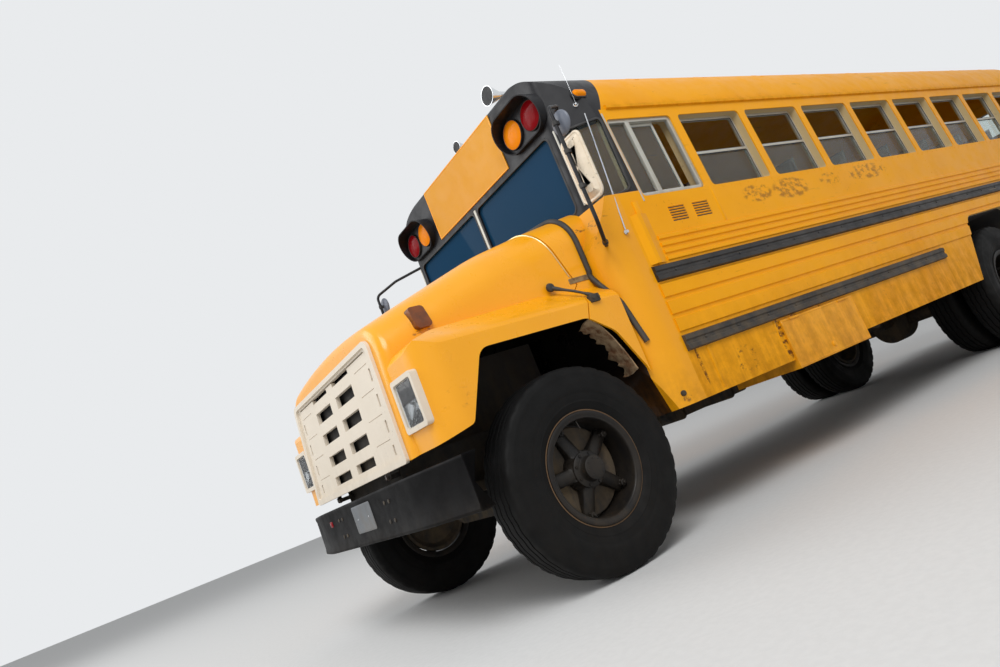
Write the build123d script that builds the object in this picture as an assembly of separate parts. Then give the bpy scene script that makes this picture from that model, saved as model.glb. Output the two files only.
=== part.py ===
from build123d import *
import os
from math import sin, cos, tan, atan2, radians, degrees, hypot, sqrt

os.makedirs("parts", exist_ok=True)

# School bus: bonneted truck chassis with a coach-built passenger body.
# Millimetres, +X forward, +Y to the left, +Z up, ground at z = 0.
# Places along the length are measured from the front axle and carry AXLE_X.

# Driving dimensions of the whole vehicle
WHEELBASE = 5105.0
FRONT_OVERHANG = 805.0
REAR_OVERHANG = 2625.0
BODY_WIDTH = 2390.0
ROOF_Z = 2985.0
FLOOR_Z = 1000.0
SKIRT_Z = 620.0
SILL_Z = 1830.0
HEAD_Z = 2365.0
EAVE_Z = 2434.0
WALL_T = 55.0
SKIRT_T = 20.0
SEAT_GAP = 0.3
MOVE_GAP = 5.0

# Stations along the length
AXLE_X = (WHEELBASE + REAR_OVERHANG - FRONT_OVERHANG) / 2.0
REAR_AXLE_X = AXLE_X - WHEELBASE
HALF = BODY_WIDTH / 2.0
FRONT_X = AXLE_X - 700.0
CORNER_X = AXLE_X - 980.0
BODY_REAR_X = REAR_AXLE_X - 2535.0

# Window bays: eight equal bays behind the driver's window
BAY_COUNT = 8
POST_W = 75.0
FIRST_POST_X = AXLE_X - 1612.5
REAR_WALL_X = BODY_REAR_X + 249.2
LAST_POST_X = REAR_WALL_X + POST_W / 2.0
BAY_PITCH = (FIRST_POST_X - LAST_POST_X) / BAY_COUNT

# Roof section: a wide crown arc and a tighter arc down to the eave
CROWN_R = 2500.0
WALL_LEAN = 2.8
# The wall leans in from the sill; the eave arc is tangent to it at EAVE_Z and to the crown
CROWN_Z = ROOF_Z - CROWN_R
wall_out = (cos(radians(WALL_LEAN)), sin(radians(WALL_LEAN)))
eave_start = (HALF - (EAVE_Z - SILL_Z) * tan(radians(WALL_LEAN)), EAVE_Z)
eave_rise = eave_start[1] - CROWN_Z
EAVE_R = ((eave_start[0] ** 2 + eave_rise ** 2 - CROWN_R ** 2)
          / (2.0 * (eave_start[0] * wall_out[0] + eave_rise * wall_out[1] - CROWN_R)))
EAVE_CENTRE = (eave_start[0] - wall_out[0] * EAVE_R, eave_start[1] - wall_out[1] * EAVE_R)
CROWN_ANGLE = degrees(atan2(EAVE_CENTRE[0], EAVE_CENTRE[1] - CROWN_Z))

# Widths that follow the body
CORNER_Y = HALF - 185.0
CORNER_ROUND = 60.0
REAR_ROUND = 190.0
FENDER_HALF = HALF - 65.0

# Wheels and axles
TYRE_R = 520.0
BEAD_R = 258.0
FLANGE_R = 283.0
FRONT_WHEEL_Y = HALF - 210.0
KINGPIN_Y = FRONT_WHEEL_Y - 160.0
DUAL_OUT_Y = HALF - 165.0
DUAL_IN_Y = DUAL_OUT_Y - 310.0
SPINDLE_R = 35.0
HUB_BORE_R = SPINDLE_R + 0.3

# Ladder frame
RAIL_OUT_Y = HALF - 763.0
RAIL_IN_Y = RAIL_OUT_Y - 80.0
RAIL_LOW_Z = 660.0
RAIL_TOP_Z = 900.0


def box(x0, x1, y0, y1, z0, z1):
    """Block between two opposite corners."""
    middle = Pos((x0 + x1) / 2.0, (y0 + y1) / 2.0, (z0 + z1) / 2.0)
    return middle * Box(abs(x1 - x0), abs(y1 - y0), abs(z1 - z0))


def outline(corners):
    """Closed face from rows of (u, v, radius); a radius of 0 leaves a sharp corner."""
    edges = []
    starts, ends = [], []
    count = len(corners)
    for i, (u, v, radius) in enumerate(corners):
        here = Vector(u, v)
        before = Vector(*corners[i - 1][:2])
        after = Vector(*corners[(i + 1) % count][:2])
        if radius <= 0:
            starts.append(here)
            ends.append(here)
            continue
        to_before = (before - here).normalized()
        to_after = (after - here).normalized()
        half_angle = radians(to_before.get_angle(to_after)) / 2.0
        reach = radius / (sin(half_angle) / cos(half_angle))
        first = here + to_before * reach
        last = here + to_after * reach
        middle_dir = (to_before + to_after).normalized()
        centre = here + middle_dir * (radius / sin(half_angle))
        middle = centre - middle_dir * radius
        edges.append(ThreePointArc(first, middle, last))
        starts.append(first)
        ends.append(last)
    for i in range(count):
        leave = ends[i]
        arrive = starts[(i + 1) % count]
        if (arrive - leave).length > 0.001:
            edges.append(Line(leave, arrive))
    return make_face(edges)


PLAN = Plane.XY
SIDE = Plane(origin=(0, 0, 0), x_dir=(1, 0, 0), z_dir=(0, -1, 0))
END = Plane.YZ


def prism_z(corners, z0, z1):
    """Plan outline of (x, y, radius) rows raised from z0 to z1."""
    return extrude(Pos(0, 0, z0) * (PLAN * outline(corners)), amount=z1 - z0, dir=(0, 0, 1))


def prism_y(corners, y0, y1):
    """Side outline of (x, z, radius) rows carried across from y0 to y1."""
    return extrude(Pos(0, y0, 0) * (SIDE * outline(corners)), amount=y1 - y0, dir=(0, 1, 0))


def prism_x(corners, x0, x1):
    """End outline of (y, z, radius) rows carried along from x0 to x1."""
    return extrude(Pos(x0, 0, 0) * (END * outline(corners)), amount=x1 - x0, dir=(1, 0, 0))


def rod_x(y, z, radius, x0, x1):
    """Round bar along the length."""
    return Pos((x0 + x1) / 2.0, y, z) * (Rot(0, 90, 0) * Cylinder(radius, abs(x1 - x0)))


def rod_y(x, z, radius, y0, y1):
    """Round bar across the bus."""
    return Pos(x, (y0 + y1) / 2.0, z) * (Rot(90, 0, 0) * Cylinder(radius, abs(y1 - y0)))


def rod_z(x, y, radius, z0, z1):
    """Upright round bar."""
    return Pos(x, y, (z0 + z1) / 2.0) * Cylinder(radius, abs(z1 - z0))


def other_side(shape):
    """The same piece on the right-hand side."""
    return mirror(shape, about=Plane.XZ)


def both(shape):
    """A left-hand piece with its right-hand twin."""
    return [shape, other_side(shape)]


def pipe(points, radius, bends):
    """Round tube along straight runs joined by arcs."""
    path = FilletPolyline(*points, radius=bends)
    start = Plane(origin=path @ 0, z_dir=path % 0)
    return sweep(start * Circle(radius), path=path)


def revolve_y(rows, x, y, z):
    """Turn an outline of (distance outward along Y, radius) rows about a cross axis."""
    face = Plane(origin=(0, 0, 0), x_dir=(0, 1, 0), z_dir=(1, 0, 0)) * outline(rows)
    return Pos(x, y, z) * revolve(face, axis=Axis.Y)


def save(name, shapes):
    """Write one node; a list of shapes becomes one compound of separate solids."""
    if isinstance(shapes, (list, tuple)):
        solids = []
        for shape in shapes:
            solids.extend(shape.solids())
        shape = Compound(children=solids) if len(solids) > 1 else solids[0]
    else:
        solids = shapes.solids()
        shape = Compound(children=list(solids)) if len(solids) > 1 else solids[0]
    export_step(shape, f"parts/{name}.step")


# Body shell: the same three outlines, inset by the wall for the inside


def body_volume(inset, low_z):
    """Solid filling the passenger body, with every face moved in by inset."""
    crown_r = CROWN_R - inset
    angle = radians(CROWN_ANGLE)
    lean = radians(90.0 - WALL_LEAN)
    shoulder = (crown_r * sin(angle), CROWN_Z + crown_r * cos(angle))
    eave_r = EAVE_R - inset
    eave = (EAVE_CENTRE[0] + eave_r * sin(lean), EAVE_CENTRE[1] + eave_r * cos(lean))
    mid = (angle + lean) / 2.0
    corner = (EAVE_CENTRE[0] + eave_r * sin(mid), EAVE_CENTRE[1] + eave_r * cos(mid))
    wall_y = HALF - inset
    edges = [
        Line((-wall_y, low_z), (wall_y, low_z)),
        Line((wall_y, low_z), (wall_y, SILL_Z)),
        Line((wall_y, SILL_Z), eave),
        ThreePointArc(eave, corner, shoulder),
        ThreePointArc(shoulder, (0, ROOF_Z - inset), (-shoulder[0], shoulder[1])),
        ThreePointArc((-shoulder[0], shoulder[1]), (-corner[0], corner[1]), (-eave[0], eave[1])),
        Line((-eave[0], eave[1]), (-wall_y, SILL_Z)),
        Line((-wall_y, SILL_Z), (-wall_y, low_z)),
    ]
    section = extrude(Pos(BODY_REAR_X, 0, 0) * (END * make_face(edges)),
                      amount=FRONT_X - BODY_REAR_X, dir=(1, 0, 0))
    # Plan: chamfered front corners that carry the corner panes, round rear corners
    front, rear = FRONT_X - inset, BODY_REAR_X + inset
    nose_y = CORNER_Y - inset
    rear_r = REAR_ROUND - inset
    plan = prism_z([(rear, -HALF + inset, rear_r), (CORNER_X - inset, -HALF + inset, 0),
                    (front, -nose_y, CORNER_ROUND), (front, nose_y, CORNER_ROUND),
                    (CORNER_X - inset, HALF - inset, 0), (rear, HALF - inset, rear_r)],
                   low_z - 10.0, ROOF_Z + 10.0)
    # Side: the roof rolls over at both ends
    side = prism_y([(rear, low_z - 10.0, 0), (front, low_z - 10.0, 0),
                    (front, ROOF_Z - 135.0 - inset, 90.0 - inset / 2.0),
                    (front - 270.0, ROOF_Z + 6.0 - inset, 300.0),
                    (rear + 150.0, ROOF_Z + 6.0 - inset, 300.0),
                    (rear, ROOF_Z - 190.0 - inset, 120.0 - inset / 2.0)],
                   -HALF - 10.0, HALF + 10.0)
    return section & plan & side


BODY_OUTER = body_volume(0.0, SKIRT_Z)
BODY_INNER = body_volume(WALL_T, SKIRT_Z - 40.0)
SKIRT_INNER = body_volume(SKIRT_T, SKIRT_Z - 40.0)
FLOOR_LOW_Z = FLOOR_Z - 40.0
LONG = 9000.0
WIDE = HALF + 800.0
ABOVE_FLOOR = box(-LONG, LONG, -WIDE, WIDE, FLOOR_LOW_Z, 4000.0)
BELOW_FLOOR = box(-LONG, LONG, -WIDE, WIDE, 0.0, FLOOR_LOW_Z)
BODY_SHELL = BODY_OUTER - (BODY_INNER & ABOVE_FLOOR) - (SKIRT_INNER & BELOW_FLOOR)


# Side walls

# Pressed ribs: (low z, high z) of each, all standing RIB_OUT proud
RIBS = [(1000.0, 1092.0), (1104.0, 1196.0), (1208.0, 1300.0),
        (1412.0, 1448.0), (1456.0, 1492.0), (1500.0, 1536.0), (1544.0, 1580.0)]
RIB_OUT = 9.0
RIB_SLOPE = 9.0
# Lining strip inside the windows, and the raised strip at the wall's front edge
REVEAL_T = 45.0
REVEAL_EDGE = 40.0
STRIP_ROWS = [(-812.0, -5.0), (-858.0, 24.0), (-886.0, 24.0), (-970.0, -5.0)]
STRIP_LOW_Z = 1412.0
STRIP_TOP_Z = 1722.0
RIB_FRONT_X = AXLE_X - 812.0
WALL_FRONT_X = AXLE_X - 800.0
ARCH_TOP_Z = 1170.0
# Rear wheel arch: half length at the skirt and at the top
ARCH_LOW_HALF = 700.0
ARCH_TOP_HALF = 430.0
DOOR_FRONT_X = AXLE_X - 990.0
DOOR_REAR_X = FIRST_POST_X + POST_W / 2.0
DOOR_TOP_Z = 2385.0
CAB_LOW_Z = SILL_Z + 40.0
LEDGE_Z = CAB_LOW_Z - 8.0


def window_cut(x0, x1, side):
    """Opening of one side window through the left (+1) or right (-1) wall."""
    rows = [(x0, SILL_Z, 30.0), (x1, SILL_Z, 30.0), (x1, HEAD_Z, 30.0), (x0, HEAD_Z, 30.0)]
    return prism_y(rows, side * (HALF - 200.0), side * (HALF + 100.0))


def bay_edges(n):
    """Front and rear edges of window bay n."""
    front = FIRST_POST_X - BAY_PITCH * n - POST_W / 2.0
    return front - (BAY_PITCH - POST_W), front


def arch_outline(grow):
    """Rear wheel arch in the side plane, larger by grow."""
    low, top = ARCH_LOW_HALF + grow, ARCH_TOP_HALF + grow
    return [(REAR_AXLE_X - low, SKIRT_Z - 60.0, 0), (REAR_AXLE_X + low, SKIRT_Z - 60.0, 0),
            (REAR_AXLE_X + top, ARCH_TOP_Z + grow, 110.0),
            (REAR_AXLE_X - top, ARCH_TOP_Z + grow, 110.0)]


def side_wall(side):
    """Wall from the skirt to the eave, with window posts, ribs and wheel arch."""
    region = prism_y([(REAR_WALL_X, SKIRT_Z - 5.0, 0), (WALL_FRONT_X, SKIRT_Z - 5.0, 0),
                      (WALL_FRONT_X, SILL_Z + 40.0, 0), (CORNER_X, SILL_Z + 40.0, 0),
                      (CORNER_X, EAVE_Z, 0), (REAR_WALL_X, EAVE_Z, 0)],
                     side * (HALF - 150.0), side * (HALF + 50.0))
    wall = BODY_SHELL & region & box(-LONG, CORNER_X, -WIDE, WIDE, 0.0, 4000.0)
    front = prism_x([(HALF - SKIRT_T, SKIRT_Z, 0), (HALF, SKIRT_Z, 0), (HALF, LEDGE_Z, 0),
                     (HALF - WALL_T, LEDGE_Z, 0), (HALF - WALL_T, FLOOR_LOW_Z, 0),
                     (HALF - SKIRT_T, FLOOR_LOW_Z, 0)], CORNER_X - 1.0, WALL_FRONT_X)
    wall = wall + (front if side > 0 else other_side(front))
    lining = box(REAR_WALL_X, CORNER_X - WALL_T, HALF - WALL_T - REVEAL_T, HALF - WALL_T + 5.0,
                 SILL_Z - REVEAL_EDGE, HEAD_Z + REVEAL_EDGE)
    lining = Pos(0, HALF, SILL_Z) * Rot(WALL_LEAN, 0, 0) * Pos(0, -HALF, -SILL_Z) * lining
    strip = prism_z([(AXLE_X + x, HALF + out, 0) for x, out in STRIP_ROWS], STRIP_LOW_Z, STRIP_TOP_Z)
    raised = [lining, strip]
    for low, high in RIBS:
        rows = [(HALF - 5.0, low, 0), (HALF - 5.0, high, 0),
                (HALF + RIB_OUT, high - RIB_SLOPE, 0), (HALF + RIB_OUT, low + RIB_SLOPE, 0)]
        upper_start = AXLE_X + STRIP_ROWS[-1][0] + 5.0
        raised.append(prism_x(rows, REAR_WALL_X, upper_start if low > STRIP_LOW_Z - 1.0 else RIB_FRONT_X))
    wall = wall + [piece if side > 0 else other_side(piece) for piece in raised]
    for n in range(BAY_COUNT):
        wall = wall - window_cut(*bay_edges(n), side)
    wall = wall - prism_y(arch_outline(0.0), side * (HALF - 200.0), side * (HALF + 100.0))
    if side > 0:
        wall = wall - window_cut(DOOR_REAR_X, AXLE_X - 1000.0, side)
    else:
        wall = wall - box(DOOR_REAR_X, DOOR_FRONT_X, -HALF - 100.0, -HALF + 200.0, 0.0, DOOR_TOP_Z)
    return wall


WALL_LEFT = side_wall(1)
WALL_RIGHT = side_wall(-1)
save("side_wall_left", WALL_LEFT)

# Roof and front cap, parted along a raked line
CAP_LOW_X = AXLE_X - 1000.0
CAP_TOP_X = AXLE_X - 1300.0
cap_region = prism_y([(FRONT_X + 20.0, EAVE_Z, 0), (FRONT_X + 20.0, ROOF_Z + 20.0, 0),
                      (CAP_TOP_X, ROOF_Z + 20.0, 0), (CAP_LOW_X, EAVE_Z, 0)],
                     -HALF - 20.0, HALF + 20.0)
upper = BODY_SHELL & box(-LONG, LONG, -WIDE, WIDE, EAVE_Z, 4000.0)
# Drip moulding under the roof edge
DRIP_OUT = 16.0
drip_y = eave_start[0] - 1.0
drip = prism_x([(drip_y - 4.0, EAVE_Z, 0), (drip_y + DRIP_OUT, EAVE_Z + 4.0, 0),
                (drip_y + DRIP_OUT, EAVE_Z + 22.0, 0), (drip_y - 4.0, EAVE_Z + 34.0, 0)],
               REAR_WALL_X, CAP_LOW_X - 40.0)
roof = (upper - cap_region) + both(drip)
front_cap = upper & cap_region
save("roof", roof)
save("front_cap", front_cap)

# Blank sign panels, front and rear
RED_Y = HALF - 272.0
AMBER_Y = HALF - 486.0
SIGN_HALF = AMBER_Y - 179.0
SIGN_LOW_Z = 2440.0
SIGN_TOP_Z = 2840.0
SIGN_T = 6.0
front_sign = box(FRONT_X + SEAT_GAP, FRONT_X + SEAT_GAP + SIGN_T, -SIGN_HALF, SIGN_HALF,
                 SIGN_LOW_Z, SIGN_TOP_Z)
rear_sign = box(BODY_REAR_X - SEAT_GAP - SIGN_T, BODY_REAR_X - SEAT_GAP, -SIGN_HALF + 60.0,
                SIGN_HALF - 60.0, SIGN_LOW_Z + 20.0, SIGN_TOP_Z - 110.0)
save("sign_panels", [front_sign, rear_sign])

# Rear wall with the emergency doorway and its two fixed windows
EXIT_HALF = 480.0
EXIT_LOW_Z = FLOOR_Z + 5.0
EXIT_TOP_Z = 2350.0
rear_wall = BODY_SHELL & box(BODY_REAR_X - 10.0, REAR_WALL_X, -WIDE, WIDE, SKIRT_Z - 5.0, EAVE_Z)
rear_wall = rear_wall - box(BODY_REAR_X - 20.0, BODY_REAR_X + 100.0, -EXIT_HALF, EXIT_HALF,
                            EXIT_LOW_Z, EXIT_TOP_Z)
REAR_PANE_Y0 = EXIT_HALF + 110.0
REAR_PANE_Y1 = HALF - 235.0
rear_panes = []
for side in (1, -1):
    rows = [(side * REAR_PANE_Y0, SILL_Z, 30.0), (side * REAR_PANE_Y1, SILL_Z, 30.0),
            (side * REAR_PANE_Y1, HEAD_Z - 25.0, 30.0), (side * REAR_PANE_Y0, HEAD_Z - 25.0, 30.0)]
    rear_wall = rear_wall - prism_x(rows, BODY_REAR_X - 20.0, BODY_REAR_X + 100.0)
    y0, y1 = side * (REAR_PANE_Y0 + SEAT_GAP), side * (REAR_PANE_Y1 - SEAT_GAP)
    low, high = SILL_Z + SEAT_GAP, HEAD_Z - 25.0 - SEAT_GAP
    rear_panes.append(prism_x([(y0, low, 29.7), (y1, low, 29.7), (y1, high, 29.7), (y0, high, 29.7)],
                              BODY_REAR_X + 22.0, BODY_REAR_X + 28.0))
# Slots where the rear bumper's irons pass the skirt
for side in (1, -1):
    rear_wall = rear_wall - box(BODY_REAR_X - 20.0, BODY_REAR_X + 40.0, side * (RAIL_IN_Y - 2.0),
                                side * (RAIL_OUT_Y + 8.0), 655.0, 795.0)
save("rear_wall", rear_wall)
EXIT_PIN_X = BODY_REAR_X - 10.0
EXIT_PIN_R = 5.0
BARREL_R = 9.0
BARREL_L = 40.0
EXIT_HINGE_Z = [1150.0, 1680.0, 2210.0]
hinge_pins = []
for z in EXIT_HINGE_Z:
    hinge = rod_z(EXIT_PIN_X, -EXIT_HALF, BARREL_R, z + 0.5, z + BARREL_L)
    hinge = hinge + rod_z(EXIT_PIN_X, -EXIT_HALF, EXIT_PIN_R, z - BARREL_L, z + BARREL_L)
    hinge = hinge + box(EXIT_PIN_X - 3.0, BODY_REAR_X - SEAT_GAP, -EXIT_HALF - 30.0, -EXIT_HALF,
                        z + 0.5, z + BARREL_L)
    hinge_pins.append(hinge)

# Emergency door, hinged on the right
EXIT_GAP = 5.0
EXIT_T = 45.0
exit_door = box(BODY_REAR_X, BODY_REAR_X + EXIT_T, -EXIT_HALF + EXIT_GAP, EXIT_HALF - EXIT_GAP,
                EXIT_LOW_Z + EXIT_GAP, EXIT_TOP_Z - EXIT_GAP)
# Panes: (low z, high z)
exit_glass = []
for low, high in ((1150.0, 1560.0), (1700.0, 2260.0)):
    rows = [(-370.0, low, 40.0), (370.0, low, 40.0), (370.0, high, 40.0), (-370.0, high, 40.0)]
    exit_door = exit_door - prism_x(rows, BODY_REAR_X - 10.0, BODY_REAR_X + 90.0)
    inner_rows = [(y * (1 - 0.3 / 370.0), z, 39.7) for y, z, r in
                  [(-370.0, low + 0.3, 0), (370.0, low + 0.3, 0),
                   (370.0, high - 0.3, 0), (-370.0, high - 0.3, 0)]]
    exit_glass.append(prism_x(inner_rows, BODY_REAR_X + 18.0, BODY_REAR_X + 24.0))
handle = box(BODY_REAR_X - 30.0, BODY_REAR_X, 395.0, 420.0, 1600.0, 1680.0)
handle = handle + box(BODY_REAR_X - 34.0, BODY_REAR_X - 22.0, 395.0, 420.0, 1480.0, 1680.0)
exit_door = exit_door + handle
for z in EXIT_HINGE_Z:
    barrel = rod_z(EXIT_PIN_X, -EXIT_HALF, BARREL_R, z - BARREL_L, z)
    barrel = barrel + box(EXIT_PIN_X - 3.0, BODY_REAR_X + 1.0, -EXIT_HALF + 6.0, -EXIT_HALF + 26.0,
                          z - BARREL_L, z)
    barrel = barrel + box(EXIT_PIN_X - 3.0, EXIT_PIN_X + 3.0, -EXIT_HALF, -EXIT_HALF + 8.0, z - BARREL_L, z)
    exit_door = exit_door + (barrel - rod_z(EXIT_PIN_X, -EXIT_HALF, EXIT_PIN_R + 0.3, z - 50.0, z + 10.0))
save("emergency_door", exit_door)
save("emergency_door_glass", exit_glass)

# Windscreen surround: front and corner panes between the cowl and the cap
surround = BODY_SHELL & box(CORNER_X, FRONT_X + 10.0, -WIDE, WIDE, CAB_LOW_Z, EAVE_Z)
PANE_LOW_Z = CAB_LOW_Z + 28.0
PANE_TOP_Z = 2405.0
PANE_IN_Y = 22.0
PANE_OUT_Y = CORNER_Y - 55.0
panes = []
for side in (1, -1):
    rows = [(side * PANE_IN_Y, PANE_LOW_Z, 45.0), (side * PANE_OUT_Y, PANE_LOW_Z, 45.0),
            (side * PANE_OUT_Y, PANE_TOP_Z, 45.0), (side * PANE_IN_Y, PANE_TOP_Z, 45.0)]
    surround = surround - prism_x(rows, FRONT_X - 150.0, FRONT_X + 20.0)
    inner_rows = [(side * (PANE_IN_Y + 0.3), PANE_LOW_Z + 0.3, 44.7),
                  (side * (PANE_OUT_Y - 0.3), PANE_LOW_Z + 0.3, 44.7),
                  (side * (PANE_OUT_Y - 0.3), PANE_TOP_Z - 0.3, 44.7),
                  (side * (PANE_IN_Y + 0.3), PANE_TOP_Z - 0.3, 44.7)]
    panes.append(prism_x(inner_rows, FRONT_X - 26.0, FRONT_X - 20.0))
# Corner panes lie along the chamfer
corner_dir = (CORNER_X - FRONT_X, HALF - CORNER_Y)
corner_len = hypot(*corner_dir)
corner_u = (corner_dir[0] / corner_len, corner_dir[1] / corner_len)
corner_n = (corner_u[1], -corner_u[0])


def corner_block(start, end, deep, proud, low, high):
    """Upright slab along the left front corner, between two distances from its front edge."""
    ax, ay = FRONT_X + corner_u[0] * start, CORNER_Y + corner_u[1] * start
    bx, by = FRONT_X + corner_u[0] * end, CORNER_Y + corner_u[1] * end
    rows = [(ax + corner_n[0] * proud, ay + corner_n[1] * proud, 0),
            (bx + corner_n[0] * proud, by + corner_n[1] * proud, 0),
            (bx - corner_n[0] * deep, by - corner_n[1] * deep, 0),
            (ax - corner_n[0] * deep, ay - corner_n[1] * deep, 0)]
    return prism_z(rows, low, high)


cut = corner_block(60.0, corner_len - 35.0, 120.0, 60.0, PANE_LOW_Z, PANE_TOP_Z - 25.0)
pane = corner_block(60.3, corner_len - 35.3, 26.0, -20.0, PANE_LOW_Z + 0.3, PANE_TOP_Z - 25.3)
surround = surround - both(cut)
panes.extend(both(pane))
save("windscreen_surround", surround)

# Side window sashes: a bright frame with a meeting rail half way up
SASH_T = 30.0
SASH_BAR = 22.0
RAIL_MID_Z = (SILL_Z + HEAD_Z) / 2.0
SASH_OUT = 12.0


def sash(x0, x1, side):
    """Window frame filling one opening, leaning with the wall."""
    rows = [(x0 + 0.3, SILL_Z + 2.5, 29.7), (x1 - 0.3, SILL_Z + 2.5, 29.7),
            (x1 - 0.3, HEAD_Z - 0.3, 29.7), (x0 + 0.3, HEAD_Z - 0.3, 29.7)]
    bar = SASH_BAR
    low = [(x0 + bar, SILL_Z + bar, 10.0), (x1 - bar, SILL_Z + bar, 10.0),
           (x1 - bar, RAIL_MID_Z - bar / 2, 10.0), (x0 + bar, RAIL_MID_Z - bar / 2, 10.0)]
    top = [(x0 + bar, RAIL_MID_Z + bar / 2, 10.0), (x1 - bar, RAIL_MID_Z + bar / 2, 10.0),
           (x1 - bar, HEAD_Z - bar, 10.0), (x0 + bar, HEAD_Z - bar, 10.0)]
    y0, y1 = HALF - SASH_OUT - SASH_T, HALF - SASH_OUT
    frame = prism_y(rows, y0, y1) - prism_y(low, y0 - 5, y1 + 5) - prism_y(top, y0 - 5, y1 + 5)
    pane_rows = [(x0 + bar + 0.3, SILL_Z + bar + 0.3, 9.7), (x1 - bar - 0.3, SILL_Z + bar + 0.3, 9.7),
                 (x1 - bar - 0.3, RAIL_MID_Z - bar / 2 - 0.3, 9.7),
                 (x0 + bar + 0.3, RAIL_MID_Z - bar / 2 - 0.3, 9.7)]
    glass = prism_y(pane_rows, y0 + 12.0, y0 + 17.0)
    turn = Pos(0, HALF - SASH_OUT, SILL_Z) * Rot(WALL_LEAN, 0, 0) * Pos(0, -HALF + SASH_OUT, -SILL_Z)
    frame, glass = turn * frame, turn * glass
    if side < 0:
        return other_side(frame), other_side(glass)
    return frame, glass


frames = []
for n in range(BAY_COUNT):
    for side in (1, -1):
        frame, glass = sash(*bay_edges(n), side)
        frames.append(frame)
        panes.append(glass)

# Driver's window: fixed front light and a narrow sliding pane
DRIVER_X0 = DOOR_REAR_X
DRIVER_X1 = AXLE_X - 1000.0
STILE_X = AXLE_X - 1180.0
bar = SASH_BAR
y0, y1 = HALF - SASH_OUT - SASH_T, HALF - SASH_OUT
driver_frame = prism_y([(DRIVER_X0 + 0.3, SILL_Z + 2.5, 29.7), (DRIVER_X1 - 0.3, SILL_Z + 2.5, 29.7),
                        (DRIVER_X1 - 0.3, HEAD_Z - 0.3, 29.7), (DRIVER_X0 + 0.3, HEAD_Z - 0.3, 29.7)],
                       y0, y1)
driver_frame = driver_frame - prism_y([(DRIVER_X0 + bar, SILL_Z + bar, 10.0),
                                       (STILE_X - bar, SILL_Z + bar, 10.0),
                                       (STILE_X - bar, HEAD_Z - bar, 10.0),
                                       (DRIVER_X0 + bar, HEAD_Z - bar, 10.0)], y0 - 5, y1 + 5)
driver_frame = driver_frame - prism_y([(STILE_X + bar, SILL_Z + bar, 10.0),
                                       (DRIVER_X1 - bar, SILL_Z + bar, 10.0),
                                       (DRIVER_X1 - bar, HEAD_Z - bar, 10.0),
                                       (STILE_X + bar, HEAD_Z - bar, 10.0)], y0 - 5, y1 + 5)
lean = Pos(0, HALF - SASH_OUT, SILL_Z) * Rot(WALL_LEAN, 0, 0) * Pos(0, -HALF + SASH_OUT, -SILL_Z)
frames.append(lean * driver_frame)
front_light = prism_y([(STILE_X + bar + 0.3, SILL_Z + bar + 0.3, 9.7),
                       (DRIVER_X1 - bar - 0.3, SILL_Z + bar + 0.3, 9.7),
                       (DRIVER_X1 - bar - 0.3, HEAD_Z - bar - 0.3, 9.7),
                       (STILE_X + bar + 0.3, HEAD_Z - bar - 0.3, 9.7)], y0 + 12.0, y0 + 17.0)
panes.append(lean * front_light)
save("window_frames", frames)
save("glazing", panes + rear_panes)

# Rub rails: black pressed channels, (low z, high z, front x, rear x)
RAIL_OUT = 22.0
UPPER_RAIL = (1308.0, 1403.0)
LOWER_RAIL = (890.0, 984.0)
RAIL_RUNS = [(UPPER_RAIL, RIB_FRONT_X, REAR_WALL_X + 5.0, 1),
             (UPPER_RAIL, DOOR_REAR_X - 5.0, REAR_WALL_X + 5.0, -1),
             (LOWER_RAIL, RIB_FRONT_X, AXLE_X - 4000.0, 1),
             (LOWER_RAIL, DOOR_REAR_X - 5.0, AXLE_X - 4000.0, -1),
             (LOWER_RAIL, REAR_AXLE_X - 640.0, REAR_WALL_X + 5.0, 1),
             (LOWER_RAIL, REAR_AXLE_X - 640.0, REAR_WALL_X + 5.0, -1)]
rub_rails = []
for (low, high), front, rear, side in RAIL_RUNS:
    y = HALF + SEAT_GAP
    groove = (high - low) / 3.0
    rows = [(y, low, 0), (y + RAIL_OUT, low + 8.0, 0), (y + RAIL_OUT, low + groove, 0),
            (y + RAIL_OUT - 8.0, low + groove + 8.0, 0), (y + RAIL_OUT - 8.0, high - groove - 8.0, 0),
            (y + RAIL_OUT, high - groove, 0), (y + RAIL_OUT, high - 8.0, 0), (y, high, 0)]
    rail = prism_x(rows, rear, front)
    rub_rails.append(rail if side > 0 else other_side(rail))
save("rub_rails", rub_rails)

# Cowl of the coach body: the rounded bulge below the windscreen
COWL_X = AXLE_X - 560.0
COWL_T = 30.0
COWL_R = 180.0
COWL_GAP_Y = 560.0


def cowl_volume(inset, rear, low, top):
    """Bulge filling the width behind the bonnet."""
    plan = prism_z([(rear, -HALF + inset, 0), (COWL_X - inset, -HALF + inset, COWL_R - inset),
                    (COWL_X - inset, HALF - inset, COWL_R - inset), (rear, HALF - inset, 0)], low, top)
    side = prism_y([(rear, low - 5.0, 0), (AXLE_X - 622.0 - inset, low - 5.0, 0),
                    (AXLE_X - 560.0 - inset, 900.0, 0), (COWL_X - inset, 1060.0, 0),
                    (COWL_X - inset, 1610.0, 0), (FRONT_X - inset, top, 0), (rear, top, 0)],
                   -HALF - 5.0, HALF + 5.0)
    return plan & side


# Bonnet and truck cowl: a crowned centre between two fender blocks
HOOD_T = 14.0
CROWN_AXIS_Z = -4000.0
HOOD_SIDE_FRONT = FENDER_HALF - 310.0
HOOD_SIDE_REAR = FENDER_HALF - 120.0
HOOD_NOSE_X = AXLE_X + 790.0
SIDE_ROUND = 220.0
NOSE_ROUND = 60.0
FENDER_FRONT_X = AXLE_X + 742.0
SHOULDER_OUT = (FENDER_HALF + 8.0, 1330.0)
SHOULDER_IN = (FENDER_HALF - 250.0, 1490.0)
SEAM_GAP = 8.0
# The face leans back from its foot
FACE_X = AXLE_X + 767.0
FACE_LOW_Z = 865.0
FACE_RAKE = 2.284
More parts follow.
